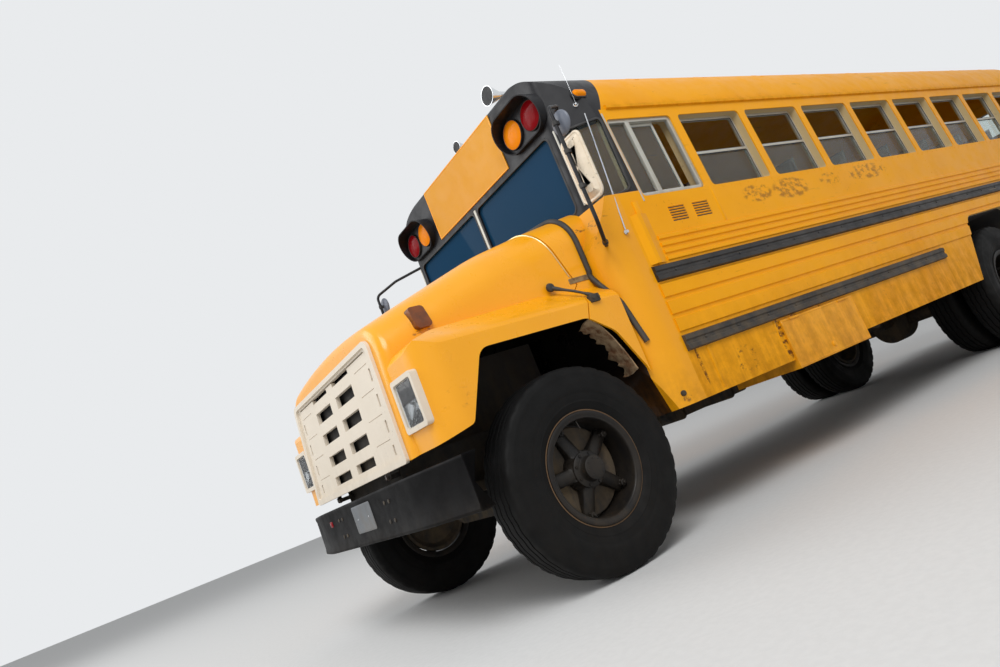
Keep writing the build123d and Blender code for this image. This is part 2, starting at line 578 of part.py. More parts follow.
# Top line of the bonnet: (x from the front axle, z)
HOOD_LINE = [(-700.0, 1985.0), (-350.0, 1930.0), (0.0, 1862.0), (500.0, 1702.0), (790.0, 1602.0)]


def face_x(z):
    """Station of the raked face at a height."""
    return FACE_X - (z - FACE_LOW_Z) * tan(radians(FACE_RAKE))


def hood_centre(inset, low_z):
    """Crowned middle of the bonnet: narrow at the grille, wide at the cowl, rounded all round."""
    rows = [(FRONT_X, 0.0, 0), (HOOD_NOSE_X, 0.0, 0),
            (HOOD_NOSE_X, HOOD_LINE[-1][1] - CROWN_AXIS_Z - inset, 0)]
    for x, z in reversed(HOOD_LINE[1:-1]):
        rows.append((AXLE_X + x, z - CROWN_AXIS_Z - inset, 1500.0))
    rows.append((FRONT_X, HOOD_LINE[0][1] - CROWN_AXIS_Z - inset, 0))
    crown = Pos(0, 0, CROWN_AXIS_Z) * revolve(PLAN * outline(rows), axis=Axis.X)
    side_front, side_rear = HOOD_SIDE_FRONT - inset, HOOD_SIDE_REAR - inset
    centre = prism_z([(FRONT_X, -side_rear, 0), (HOOD_NOSE_X, -side_front, 0),
                      (HOOD_NOSE_X, side_front, 0), (FRONT_X, side_rear, 0)], low_z, 2100.0)
    raked = prism_y([(FRONT_X - 10.0, low_z - 5.0, 0), (face_x(low_z - 5.0) - inset, low_z - 5.0, 0),
                     (face_x(2110.0) - inset, 2110.0, 0), (FRONT_X - 10.0, 2110.0, 0)], -WIDE, WIDE)
    middle = crown & centre & raked
    shoulders = middle.edges().filter_by(lambda e: (e @ 0.5).Z > 1400.0
                                         and abs((e @ 0.5).Y) > HOOD_SIDE_FRONT - 120.0
                                         and abs((e @ 0).X - (e @ 1).X) > 100.0)
    middle = fillet(shoulders, SIDE_ROUND - inset)
    nose = middle.edges().filter_by(lambda e: abs((e @ 0.5).X + inset - face_x((e @ 0.5).Z)) < 1.0
                                    and (e @ 0.5).Z > low_z + 1.0)
    return fillet(nose, NOSE_ROUND - inset)


def hood_volume(inset, low_z):
    """Bonnet, fenders and truck cowl as one outer form, moved in by inset."""
    half = FENDER_HALF - inset
    front = FENDER_FRONT_X - inset
    fender = prism_z([(FRONT_X, -half, 0), (front - 12.0, -half, 150.0 - inset),
                      (front, -FENDER_HALF / 2.0, 0), (front, FENDER_HALF / 2.0, 0),
                      (front - 12.0, half, 150.0 - inset), (FRONT_X, half, 0)], low_z, 1700.0)
    foot = FENDER_HALF + 70.0
    shoulder = prism_x([(-foot, low_z - 5.0, 0), (foot, low_z - 5.0, 0),
                        (SHOULDER_OUT[0] - inset, SHOULDER_OUT[1] - inset, 120.0 - inset),
                        (SHOULDER_IN[0], SHOULDER_IN[1] - inset, 0),
                        (-SHOULDER_IN[0], SHOULDER_IN[1] - inset, 0),
                        (-SHOULDER_OUT[0] + inset, SHOULDER_OUT[1] - inset, 120.0 - inset)],
                       FRONT_X - 100.0, AXLE_X + 900.0)
    fall = prism_y([(FRONT_X - 10.0, low_z - 5.0, 0), (front + 2.0, low_z - 5.0, 0),
                    (front + 2.0, 1355.0 - inset, 95.0 - inset), (AXLE_X + 560.0, 1412.0 - inset, 300.0),
                    (FRONT_X - 10.0, 1480.0 - inset, 0)], -WIDE, WIDE)
    return hood_centre(inset, low_z) + (fender & shoulder & fall)


FASCIA_LOW_Z = 868.0
HOOD_OUTER = hood_volume(0.0, 560.0)
HOOD_INNER = hood_volume(HOOD_T, 500.0)
hood_skin = HOOD_OUTER - HOOD_INNER
# Front wheel opening in the side plane
ARCH_ROWS = [(AXLE_X - 900.0, 300.0, 0), (AXLE_X - 640.0, 500.0, 0), (AXLE_X - 548.0, 900.0, 120.0),
             (AXLE_X - 440.0, 1130.0, 120.0), (AXLE_X - 290.0, 1238.0, 120.0),
             (AXLE_X + 405.0, 1240.0, 80.0), (AXLE_X + 574.0, 917.0, 40.0),
             (AXLE_X + 900.0, FASCIA_LOW_Z - 22.0, 0), (AXLE_X + 900.0, 300.0, 0)]
hood_skin = hood_skin - prism_y(ARCH_ROWS, -WIDE, WIDE)
hood_skin = hood_skin - box(-LONG, LONG, -WIDE, WIDE, 0.0, FASCIA_LOW_Z)
# Seam between the tilting bonnet and the fixed truck cowl: (x, z) from the top down
SEAM = [(-305.0, 2100.0), (-318.0, 1905.0), (-365.0, 1732.0), (-442.0, 1461.0), (-380.0, 1400.0),
        (-340.0, 1340.0), (-280.0, 1200.0)]
hood_region = prism_y([(AXLE_X + x, z, 0) for x, z in SEAM]
                      + [(AXLE_X + 900.0, 1200.0, 0), (AXLE_X + 900.0, 2100.0, 0)], -WIDE, WIDE)
hood_low = box(AXLE_X - 280.0, AXLE_X + 900.0, -WIDE, WIDE, 500.0, 1200.0)
cowl_region = prism_y([(AXLE_X + x - SEAM_GAP, z, 0) for x, z in SEAM]
                      + [(AXLE_X - 280.0 - SEAM_GAP, 600.0, 0), (COWL_X + SEAT_GAP, 600.0, 0),
                         (COWL_X + SEAT_GAP, 2100.0, 0)], -WIDE, WIDE)
hood = hood_skin & (hood_region + hood_low)
truck_cowl = hood_skin & cowl_region
# Closing bulkhead of the truck cowl, against the coach body
bulkhead = HOOD_INNER & box(COWL_X + SEAT_GAP, COWL_X + 12.0, -WIDE, WIDE, FLOOR_LOW_Z, 2100.0)

# Coach cowl: the bulge, with the bonnet's crown carried back over it to the windscreen
crown_skin = hood_centre(0.0, 560.0) & box(FRONT_X + SEAT_GAP, COWL_X, -WIDE, WIDE, 1500.0, 2100.0)
crown_room = box(FRONT_X + COWL_T, COWL_X - COWL_T, -WIDE, WIDE, 1400.0, 2100.0)
crown_hollow = hood_centre(COWL_T, 500.0) & crown_room
body_cowl = cowl_volume(0.0, WALL_FRONT_X, SKIRT_Z, CAB_LOW_Z) + crown_skin
body_cowl = body_cowl - (cowl_volume(COWL_T, WALL_FRONT_X - 10.0, SKIRT_Z - 20.0, CAB_LOW_Z - COWL_T)
                         + crown_hollow)
body_cowl = body_cowl - (BODY_INNER & box(-LONG, LONG, -WIDE, WIDE, SILL_Z - 90.0, CAB_LOW_Z))
body_cowl = body_cowl - (BODY_OUTER & box(-LONG, FRONT_X + SEAT_GAP, -WIDE, WIDE, CAB_LOW_Z, 4000.0))
body_cowl = body_cowl - box(-LONG, LONG, -COWL_GAP_Y, COWL_GAP_Y, 0.0, FLOOR_LOW_Z)
# Ledge that closes the wall top between the cowl and the corner post
ledge = box(CORNER_X, WALL_FRONT_X + 5.0, -HALF, HALF, LEDGE_Z + SEAT_GAP, CAB_LOW_Z) - BODY_INNER
body_cowl = body_cowl + ledge
save("body_cowl", body_cowl)

# Grille opening and headlamp openings
GRILLE_FOOT_Y = HOOD_SIDE_FRONT - 56.0
GRILLE_HEAD_Y = GRILLE_FOOT_Y - 45.0
GRILLE_LOW_Z = FASCIA_LOW_Z
GRILLE_TOP_Z = 1517.0
hood = hood - prism_x([(-GRILLE_FOOT_Y + 44.0, GRILLE_LOW_Z + 30.0, 0),
                       (GRILLE_FOOT_Y - 44.0, GRILLE_LOW_Z + 30.0, 0),
                       (GRILLE_HEAD_Y - 40.0, GRILLE_TOP_Z - 28.0, 40.0),
                       (-GRILLE_HEAD_Y + 40.0, GRILLE_TOP_Z - 28.0, 40.0)], AXLE_X + 690.0, AXLE_X + 800.0)
LAMP_Y0 = FENDER_HALF - 323.0
LAMP_Y1 = FENDER_HALF - 81.0
LAMP_Z0 = 985.0
LAMP_Z1 = 1249.0
LAMP_X = AXLE_X + 745.0


def lamp_prism(side, inset, radius, x0, x1):
    """Rounded rectangle of one headlamp, inset from its bezel's edge."""
    y0, y1 = side * (LAMP_Y0 + inset), side * (LAMP_Y1 - inset)
    z0, z1 = LAMP_Z0 + inset, LAMP_Z1 - inset
    return prism_x([(y0, z0, radius), (y1, z0, radius), (y1, z1, radius), (y0, z1, radius)], x0, x1)


for side in (1, -1):
    hood = hood - lamp_prism(side, -0.5, 18.5, AXLE_X + 640.0, AXLE_X + 800.0)
# Hinge lugs under the front edge
HINGE_X = AXLE_X + 757.0
HINGE_Z = 845.0
HINGE_Y = RAIL_OUT_Y - 17.0
PIN_R = 8.0
lug = prism_y([(HINGE_X - 14.0, HINGE_Z - 14.0, 13.0), (HINGE_X + 14.0, HINGE_Z - 14.0, 13.0),
               (HINGE_X + 14.0, FASCIA_LOW_Z - 6.0, 0), (HINGE_X + 5.0, FASCIA_LOW_Z - 1.0, 0),
               (HINGE_X + 5.0, FASCIA_LOW_Z + 20.0, 0), (HINGE_X - 14.0, FASCIA_LOW_Z + 20.0, 0)],
              HINGE_Y, HINGE_Y + 12.0)
lug = lug - rod_y(HINGE_X, HINGE_Z, PIN_R + 0.3, HINGE_Y - 5.0, HINGE_Y + 20.0)
hood = hood + both(lug)
save("hood", hood)
save("truck_cowl", truck_cowl + bulkhead)

# Grille: bright frame and a recessed insert, four by five with blind outer columns
# Rows (low z, high z) and open columns (inner y, outer y)
GRILLE_ROWS = [(930.0, 982.0), (1046.0, 1110.0), (1181.0, 1248.0), (1316.0, 1384.0), (1446.0, 1478.0)]
GRILLE_COLUMNS = [(-345.0, -55.0), (55.0, 345.0)]
GRILLE_SEAMS = [1013.0, 1146.0, 1281.0, 1415.0]


def grille_outline(inset, low_inset, top_inset, low_r, top_r):
    """The grille's trapezium, moved in at its sides, foot and head."""
    foot, head = GRILLE_FOOT_Y - inset, GRILLE_HEAD_Y - inset
    low, top = GRILLE_LOW_Z + low_inset, GRILLE_TOP_Z - top_inset
    return [(-foot, low, low_r), (foot, low, low_r), (head, top, top_r), (-head, top, top_r)]


grille_frame = prism_x(grille_outline(0.0, 0.0, 0.0, 20.0, 55.0), SEAT_GAP, 18.0)
grille_frame = grille_frame - prism_x(grille_outline(36.0, 34.0, 26.0, 15.0, 40.0), -20.0, 30.0)
insert = prism_x(grille_outline(45.0, 31.0, 29.0, 12.0, 38.0), -22.0, 2.0)
lip = prism_x(grille_outline(35.0, 33.0, 25.0, 15.0, 40.0), SEAT_GAP, 5.0)
insert = insert + (lip - prism_x(grille_outline(50.0, 46.0, 44.0, 12.0, 38.0), -20.0, 30.0))
for low, high in GRILLE_ROWS:
    for inner, outer in GRILLE_COLUMNS:
        insert = insert - box(-40.0, 40.0, inner, outer, low, high)
slot_y = GRILLE_HEAD_Y - 92.0
insert = insert - box(-40.0, 40.0, -slot_y, slot_y, GRILLE_TOP_Z - 26.0 - 20.0, GRILLE_TOP_Z - 26.0 - 12.0)
for side in (1, -1):
    for low, high in GRILLE_ROWS[:-1]:
        insert = insert - box(-40.0, 40.0, side * (slot_y - 5.0), side * (slot_y + 15.0), low, high)
    for z in GRILLE_SEAMS:
        insert = insert - box(-2.0, 10.0, side * 430.0, side * (slot_y - 6.0), z - 2.0, z + 2.0)
grille = grille_frame + insert
seat_grille = Pos(FACE_X, 0, 0) * (Pos(0, 0, FACE_LOW_Z) * Rot(0, -FACE_RAKE, 0) * Pos(0, 0, -FACE_LOW_Z))
grille = seat_grille * grille
bezels, lamps = [], []
for side in (1, -1):
    ring = lamp_prism(side, 0.0, 18.0, LAMP_X - 70.0, LAMP_X + 8.0)
    bezels.append(ring - lamp_prism(side, 24.0, 14.0, LAMP_X - 80.0, LAMP_X + 20.0))
    lamps.append(lamp_prism(side, 24.3, 13.7, LAMP_X - 60.0, LAMP_X))
save("grille", [grille] + bezels)
save("headlamps", lamps)

# Ladder frame
RAIL_FRONT_X = AXLE_X + 690.0
RAIL_REAR_X = BODY_REAR_X + 20.0
WEB_T = 10.0
rail = prism_x([(RAIL_IN_Y, RAIL_LOW_Z, 0), (RAIL_OUT_Y, RAIL_LOW_Z, 0), (RAIL_OUT_Y, RAIL_TOP_Z, 0),
                (RAIL_IN_Y, RAIL_TOP_Z, 0), (RAIL_IN_Y, RAIL_TOP_Z - WEB_T, 0),
                (RAIL_OUT_Y - WEB_T, RAIL_TOP_Z - WEB_T, 0), (RAIL_OUT_Y - WEB_T, RAIL_LOW_Z + WEB_T, 0),
                (RAIL_IN_Y, RAIL_LOW_Z + WEB_T, 0)], RAIL_REAR_X, RAIL_FRONT_X)
frame = rail + other_side(rail)
CROSS_LOW_Z = RAIL_LOW_Z + 130.0
CROSS_TOP_Z = RAIL_TOP_Z - 20.0
CROSS_X = [RAIL_FRONT_X - 60.0, AXLE_X - 1900.0, AXLE_X - 3000.0, REAR_AXLE_X + 760.0,
           REAR_AXLE_X - 760.0, RAIL_REAR_X + 60.0]
for x in CROSS_X:
    frame = frame + box(x - 40.0, x + 40.0, -RAIL_OUT_Y + 5.0, RAIL_OUT_Y - 5.0, CROSS_LOW_Z, CROSS_TOP_Z)
# Spring hangers outboard of the rails: (axle x, half span)
SPRING_Y0 = RAIL_OUT_Y + 12.0
SPRING_Y1 = SPRING_Y0 + 76.0
FRONT_SPAN = 600.0
REAR_SPAN = 680.0
EYE_Z = 700.0
hangers = []
for x, span in ((AXLE_X, FRONT_SPAN), (REAR_AXLE_X, REAR_SPAN)):
    for end in (-1, 1):
        block = box(x + end * span - 38.0, x + end * span + 38.0, RAIL_OUT_Y - 5.0, SPRING_Y1 + 10.0,
                    EYE_Z + 30.3, EYE_Z + 90.0)
        hangers.extend(both(block))
frame = frame + hangers
# Bonnet hinge arms and their pins
arm = box(RAIL_FRONT_X - 5.0, HINGE_X - 8.0, HINGE_Y - 17.0, HINGE_Y - 5.0, HINGE_Z - 12.0, HINGE_Z + 12.0)
arm = arm + rod_y(HINGE_X, HINGE_Z, 12.0, HINGE_Y - 17.0, HINGE_Y - 5.0)
arm = arm + rod_y(HINGE_X, HINGE_Z, PIN_R, HINGE_Y - 17.0, HINGE_Y + 16.0)
arm = arm + box(RAIL_FRONT_X - 30.0, RAIL_FRONT_X + 6.0, HINGE_Y - 17.0, HINGE_Y - 5.0,
                HINGE_Z - 12.0, HINGE_Z + 12.0)
frame = frame + both(arm)
save("chassis_frame", frame)

# Bumpers
BUMPER_LOW_Z = 550.0
BUMPER_TOP_Z = 810.0
BUMPER_X = AXLE_X + FRONT_OVERHANG
BUMPER_HALF = HALF - 23.0
BUMPER_BEND_Y = BUMPER_HALF - 412.0


def bumper(inset):
    """Swept channel in plan."""
    end, bend = BUMPER_HALF - inset, BUMPER_BEND_Y
    return [(BUMPER_X - 105.0, -bend - 20.0, 0), (BUMPER_X - 175.0, -end, 0),
            (BUMPER_X - 85.0 - inset, -end, 0), (BUMPER_X - inset, -bend, 60.0),
            (BUMPER_X - inset, bend, 60.0), (BUMPER_X - 85.0 - inset, end, 0),
            (BUMPER_X - 175.0, end, 0), (BUMPER_X - 105.0, bend + 20.0, 0)]


front_bumper = prism_z(bumper(0.0), BUMPER_LOW_Z, BUMPER_TOP_Z)
hollow = Pos(-12.0, 0, 0) * prism_z(bumper(0.0), BUMPER_LOW_Z + 10.0, BUMPER_TOP_Z - 10.0)
front_bumper = front_bumper - hollow
IRON_Y0 = RAIL_IN_Y + 8.0
IRON_Y1 = RAIL_OUT_Y - 7.0
iron = box(RAIL_FRONT_X + SEAT_GAP, BUMPER_X - 12.0, IRON_Y0, IRON_Y1, 665.0, 800.0)
front_bumper = front_bumper + both(iron)
REAR_BUMPER_HALF = HALF - 45.0
BUMPER_T = 10.0
rear_bumper = box(BODY_REAR_X - 90.0, BODY_REAR_X - 6.0, -REAR_BUMPER_HALF, REAR_BUMPER_HALF, 560.0, 800.0)
rear_bumper = rear_bumper - box(BODY_REAR_X - 90.0 + BUMPER_T, BODY_REAR_X, -REAR_BUMPER_HALF + BUMPER_T,
                                REAR_BUMPER_HALF - BUMPER_T, 560.0 + BUMPER_T, 800.0 - BUMPER_T)
rear_iron = box(BODY_REAR_X - 81.0, RAIL_REAR_X - SEAT_GAP, IRON_Y0, IRON_Y1, 665.0, 785.0)
# Holes for the plate in front and for a tow hitch behind
PLATE_PITCH = 178.0
PLATE_Z = 700.0
for y in (-PLATE_PITCH / 2.0, PLATE_PITCH / 2.0):
    front_bumper = front_bumper - rod_x(y, PLATE_Z, 3.5, BUMPER_X - 30.0, BUMPER_X + 10.0)
HITCH_PITCH_Y = 85.7
HITCH_PITCH_Z = 44.5
for y in (-HITCH_PITCH_Y / 2.0, HITCH_PITCH_Y / 2.0):
    for z in (680.0 - HITCH_PITCH_Z / 2.0, 680.0 + HITCH_PITCH_Z / 2.0):
        rear_bumper = rear_bumper - rod_x(y, z, 6.7, BODY_REAR_X - 100.0, BODY_REAR_X - 60.0)
save("bumpers", [front_bumper, rear_bumper + both(rear_iron)])

# Engine and gearbox as one plain mass, with its mounts, and the radiator
ENGINE_HALF = RAIL_IN_Y - 52.0
engine = box(AXLE_X - 480.0, AXLE_X + 520.0, -ENGINE_HALF, ENGINE_HALF, 640.0, 1330.0)
engine = engine + box(AXLE_X - 1450.0, AXLE_X - 470.0, -190.0, 190.0, 640.0, 900.0)
for x in (AXLE_X + 250.0, AXLE_X - 300.0):
    engine = engine + box(x - 40.0, x + 40.0, -RAIL_IN_Y + SEAT_GAP, RAIL_IN_Y - SEAT_GAP, 780.0, 880.0)
save("engine_block", engine)
radiator = box(AXLE_X + 592.0, AXLE_X + 668.0, -500.0, 500.0, RAIL_TOP_Z + SEAT_GAP, 1470.0)
save("radiator", radiator)

# Springs and axles
spring_packs = []
for x, span, low in ((AXLE_X, FRONT_SPAN, 580.0), (REAR_AXLE_X, REAR_SPAN, 600.0)):
    for side in (1, -1):
        thick = 60.0
        arc_low = ThreePointArc((x - span, EYE_Z - 30.0), (x, low), (x + span, EYE_Z - 30.0))
        arc_top = ThreePointArc((x + span, EYE_Z - 10.0), (x, low + thick), (x - span, EYE_Z - 10.0))
        edges = [arc_low, Line(arc_low @ 1, arc_top @ 0), arc_top, Line(arc_top @ 1, arc_low @ 0)]
        pack = extrude(Pos(0, SPRING_Y0, 0) * (SIDE * make_face(edges)), amount=SPRING_Y1 - SPRING_Y0,
                       dir=(0, 1, 0))
        for end in (-1, 1):
            pack = pack + rod_y(x + end * span, EYE_Z, 30.0, SPRING_Y0, SPRING_Y1)
        spring_packs.append(pack if side > 0 else other_side(pack))
save("leaf_springs", spring_packs)

AXLE_Z = TYRE_R
beam_half = [(0.0, 420.0, 0), (SPRING_Y0 - 60.0, 420.0, 60.0), (SPRING_Y0 + 60.0, 478.0, 60.0),
             (KINGPIN_Y, 478.0, 0), (KINGPIN_Y, 560.0, 0), (SPRING_Y1 + 30.0, 560.0, 0),
             (SPRING_Y1 + 10.0, 580.0 - SEAT_GAP, 0), (SPRING_Y0 - 10.0, 580.0 - SEAT_GAP, 0),
             (SPRING_Y0 - 90.0, 500.0, 40.0), (0.0, 500.0, 0)]
half_beam = prism_x(beam_half, AXLE_X - 42.0, AXLE_X + 42.0)
beam = half_beam + other_side(half_beam)
BOSS_LOW_Z = 475.0
BOSS_TOP_Z = 565.0
BOSS_R = 48.0
KINGPIN_R = 20.0
for side in (1, -1):
    beam = beam + rod_z(AXLE_X, side * KINGPIN_Y, BOSS_R, BOSS_LOW_Z, BOSS_TOP_Z)
    beam = beam - rod_z(AXLE_X, side * KINGPIN_Y, KINGPIN_R + 0.3, 400.0, 620.0)
rear_tube = rod_y(REAR_AXLE_X, AXLE_Z, 72.0, -DUAL_IN_Y + 120.0, DUAL_IN_Y - 120.0)
rear_tube = rear_tube + rod_y(REAR_AXLE_X, AXLE_Z, 45.0, -DUAL_OUT_Y - 60.0, DUAL_OUT_Y + 60.0)
rear_tube = rear_tube + rod_x(0.0, AXLE_Z, 190.0, REAR_AXLE_X - 90.0, REAR_AXLE_X + 110.0)
rear_tube = rear_tube + rod_x(0.0, AXLE_Z + 30.0, 60.0, REAR_AXLE_X + 100.0, REAR_AXLE_X + 260.0)
for side in (1, -1):
    pad = box(REAR_AXLE_X - 60.0, REAR_AXLE_X + 60.0, side * SPRING_Y0, side * SPRING_Y1,
              AXLE_Z, 600.0 - SEAT_GAP)
    rear_tube = rear_tube + pad
save("front_axle", beam)
save("rear_axle", rear_tube)

# Drive shaft from the gearbox to the rear axle, with a centre bearing
SHAFT_Z = AXLE_Z + 30.0
bearing_x = AXLE_X - 3000.0
gearbox_x = AXLE_X - 1450.0 - SEAT_GAP
pinion_x = REAR_AXLE_X + 260.0 + SEAT_GAP
shaft = pipe([(gearbox_x - 10.0, 0, 740.0), (bearing_x, 0, 700.0), (pinion_x + 10.0, 0, SHAFT_Z)],
             45.0, [400.0])
shaft = shaft + rod_x(0, 740.0, 62.0, gearbox_x - 26.0, gearbox_x)
shaft = shaft + rod_x(0, SHAFT_Z, 62.0, pinion_x, pinion_x + 26.0)
bearing = box(bearing_x - 30.0, bearing_x + 30.0, -120.0, 120.0, 650.0, CROSS_LOW_Z - SEAT_GAP)
save("drive_shaft", shaft + bearing)

# Knuckles: forked ears over and under the beam, spindle, steering arm and its stud
ARM_BACK = 180.0
EAR_T = 26.0
ear_low = (BOSS_LOW_Z - MOVE_GAP - EAR_T, BOSS_LOW_Z - MOVE_GAP)
ear_top = (BOSS_TOP_Z + MOVE_GAP, BOSS_TOP_Z + MOVE_GAP + EAR_T)
STUD_R = 8.0
ROD_END_R = 16.0
PLATE_Y0 = KINGPIN_Y + BOSS_R + 8.0
knuckle = rod_z(AXLE_X, KINGPIN_Y, KINGPIN_R, ear_low[0], ear_top[1])
for low, high in (ear_low, ear_top):
    ear = prism_z([(AXLE_X - 45.0, KINGPIN_Y - 40.0, 38.0), (AXLE_X + 45.0, KINGPIN_Y - 40.0, 38.0),
                   (AXLE_X + 45.0, PLATE_Y0 + 10.0, 0), (AXLE_X - 45.0, PLATE_Y0 + 10.0, 0)], low, high)
    knuckle = knuckle + ear
knuckle = knuckle + box(AXLE_X - 45.0, AXLE_X + 45.0, PLATE_Y0, PLATE_Y0 + 25.0, ear_low[0], ear_top[1])
knuckle = knuckle + rod_y(AXLE_X, AXLE_Z, SPINDLE_R, PLATE_Y0 + 10.0, FRONT_WHEEL_Y + 85.0)
knuckle = knuckle + box(AXLE_X - ARM_BACK, AXLE_X, KINGPIN_Y - 15.0, KINGPIN_Y + 15.0,
                        ear_low[0], ear_low[1] - 4.0)
knuckle = knuckle + rod_z(AXLE_X - ARM_BACK, KINGPIN_Y, 20.0, ear_low[0], ear_low[1] - 4.0)
knuckle = knuckle + rod_z(AXLE_X - ARM_BACK, KINGPIN_Y, STUD_R, ear_low[1] - 8.0, ear_low[1] + 32.0)
save("knuckle_left", knuckle)
save("knuckle_right", other_side(knuckle))
tie_z = (ear_low[1] + 1.0, ear_low[1] + 27.0)
TIE_ROD_Z = (tie_z[0] + tie_z[1]) / 2.0
tie_rod = rod_y(AXLE_X - ARM_BACK, TIE_ROD_Z, 12.0, -KINGPIN_Y + 10.0, KINGPIN_Y - 10.0)
for side in (1, -1):
    tie_rod = tie_rod + rod_z(AXLE_X - ARM_BACK, side * KINGPIN_Y, ROD_END_R, *tie_z)
    tie_rod = tie_rod - rod_z(AXLE_X - ARM_BACK, side * KINGPIN_Y, STUD_R + 0.3, 300.0, 700.0)
save("tie_rod", tie_rod)

# Wheels: tyre section and rim section turned about the axle
TYRE_ROWS = [(-72.0, BEAD_R + 1.0, 0), (-95.0, BEAD_R + 1.0, 0), (-96.0, FLANGE_R + 6.0, 0),
             (-130.0, 400.0, 70.0), (-114.0, TYRE_R - 12.0, 0), (-96.0, TYRE_R, 0), (96.0, TYRE_R, 0),
             (114.0, TYRE_R - 12.0, 0), (130.0, 400.0, 70.0), (96.0, FLANGE_R + 6.0, 0),
             (95.0, BEAD_R + 1.0, 0), (72.0, BEAD_R + 1.0, 0), (98.0, 380.0, 0), (80.0, TYRE_R - 34.0, 0),
             (-80.0, TYRE_R - 34.0, 0), (-98.0, 380.0, 0)]
RIM_ROWS = [(-108.0, FLANGE_R, 0), (-98.0, FLANGE_R, 0), (-96.0, BEAD_R, 0), (96.0, BEAD_R, 0),
            (98.0, FLANGE_R, 0), (108.0, FLANGE_R, 0), (108.0, BEAD_R - 14.0, 0), (-108.0, BEAD_R - 14.0, 0)]
SPOKES = 5


def spider(x, y, z, face_out, depth):
    """Five-spoke cast wheel centre with its hub, around a bored axis."""
    hub = rod_y(x, z, 96.0, y + face_out - depth, y + face_out)
    parts = [rod_y(x, z, 62.0, y + face_out - 10.0, y + face_out + 62.0)]
    for n in range(SPOKES):
        arm = prism_x([(face_out - 70.0, 70.0, 0), (face_out, 70.0, 0), (face_out - 34.0, 246.0, 0),
                       (face_out - 84.0, 246.0, 0)], -34.0, 34.0)
        parts.append(Pos(x, y, z) * (Rot(0, 360.0 / SPOKES * n, 0) * arm))
    return hub + parts


tyre = revolve_y(TYRE_ROWS, 0, 0, 0)
rim = revolve_y(RIM_ROWS, 0, 0, 0)
front_wheel = Pos(AXLE_X, FRONT_WHEEL_Y, AXLE_Z) * rim + spider(AXLE_X, FRONT_WHEEL_Y, AXLE_Z, 40.0, 80.0)
front_wheel = front_wheel - rod_y(AXLE_X, AXLE_Z, HUB_BORE_R, FRONT_WHEEL_Y - 120.0, FRONT_WHEEL_Y + 85.5)
front_tyre = Pos(AXLE_X, FRONT_WHEEL_Y, AXLE_Z) * tyre
save("front_rim_left", front_wheel)
save("front_rim_right", other_side(front_wheel))
save("front_tyre_left", front_tyre)
save("front_tyre_right", other_side(front_tyre))

outer_rim = Pos(REAR_AXLE_X, DUAL_OUT_Y, AXLE_Z) * rim
inner_rim = Pos(REAR_AXLE_X, DUAL_IN_Y, AXLE_Z) * rim
rear_wheel = outer_rim + inner_rim + spider(REAR_AXLE_X, DUAL_OUT_Y, AXLE_Z, -30.0, 120.0)
spacer = rod_y(REAR_AXLE_X, AXLE_Z, BEAD_R - 13.0, DUAL_IN_Y + 90.0, DUAL_OUT_Y - 90.0)
spacer = spacer - rod_y(REAR_AXLE_X, AXLE_Z, BEAD_R - 30.0, DUAL_IN_Y, DUAL_OUT_Y)
rear_wheel = rear_wheel + spacer
rear_wheel = rear_wheel - rod_y(REAR_AXLE_X, AXLE_Z, 45.3, DUAL_IN_Y - 200.0, DUAL_OUT_Y + 60.5)
rear_tyres = [Pos(REAR_AXLE_X, DUAL_OUT_Y, AXLE_Z) * tyre, Pos(REAR_AXLE_X, DUAL_IN_Y, AXLE_Z) * tyre]
save("rear_rims_left", rear_wheel)
save("rear_rims_right", other_side(rear_wheel))
save("rear_tyres_left", rear_tyres)
save("rear_tyres_right", [other_side(t) for t in rear_tyres])

# Floor with its cross sills and stepwell, and the wheel housings let into it
FLOOR_HALF = HALF - WALL_T - SEAT_GAP
FLOOR_ROUND = REAR_ROUND - WALL_T + 6.0
STEP_IN_Y = -HALF + 575.0
STEP_X0 = DOOR_REAR_X - 20.0
STEP_X1 = DOOR_FRONT_X + 20.0
HOUSING_IN_Y = DUAL_IN_Y - 185.0
PLATE_T = 8.0
floor_rear = BODY_REAR_X + WALL_T + SEAT_GAP
floor = prism_z([(floor_rear, -FLOOR_HALF, FLOOR_ROUND), (CORNER_X, -FLOOR_HALF, 0),
                 (CORNER_X, FLOOR_HALF, 0), (floor_rear, FLOOR_HALF, FLOOR_ROUND)], FLOOR_LOW_Z, FLOOR_Z)
toe_board = box(CORNER_X - 1.0, COWL_X, -FLOOR_HALF, FLOOR_HALF, FLOOR_LOW_Z, FLOOR_Z)
floor = floor + (toe_board & cowl_volume(COWL_T + 2.0, CORNER_X - 10.0, SKIRT_Z, CAB_LOW_Z))
# Notch round the foot of the left corner post
floor = floor - box(CORNER_X - 60.0, CORNER_X + SEAT_GAP, FLOOR_HALF - 40.0, HALF,
                    FLOOR_LOW_Z - 1.0, FLOOR_Z + 1.0)
housings = []
for side in (1, -1):
    floor = floor - prism_y(arch_outline(SEAT_GAP), side * (HOUSING_IN_Y - PLATE_T - SEAT_GAP),
                            side * (HALF + 10.0))
    outer_h = prism_y(arch_outline(0.0), side * (HOUSING_IN_Y - PLATE_T), side * FLOOR_HALF)
    inner_h = prism_y(arch_outline(-PLATE_T), side * HOUSING_IN_Y, side * (HALF + 10.0))
    housings.append((outer_h - inner_h) & box(-LONG, LONG, -WIDE, WIDE, RAIL_TOP_Z + 10.0, 1300.0))
save("wheel_housings", housings)
floor = floor - box(STEP_X0, STEP_X1, -HALF - 10.0, STEP_IN_Y, 0.0, 1100.0)
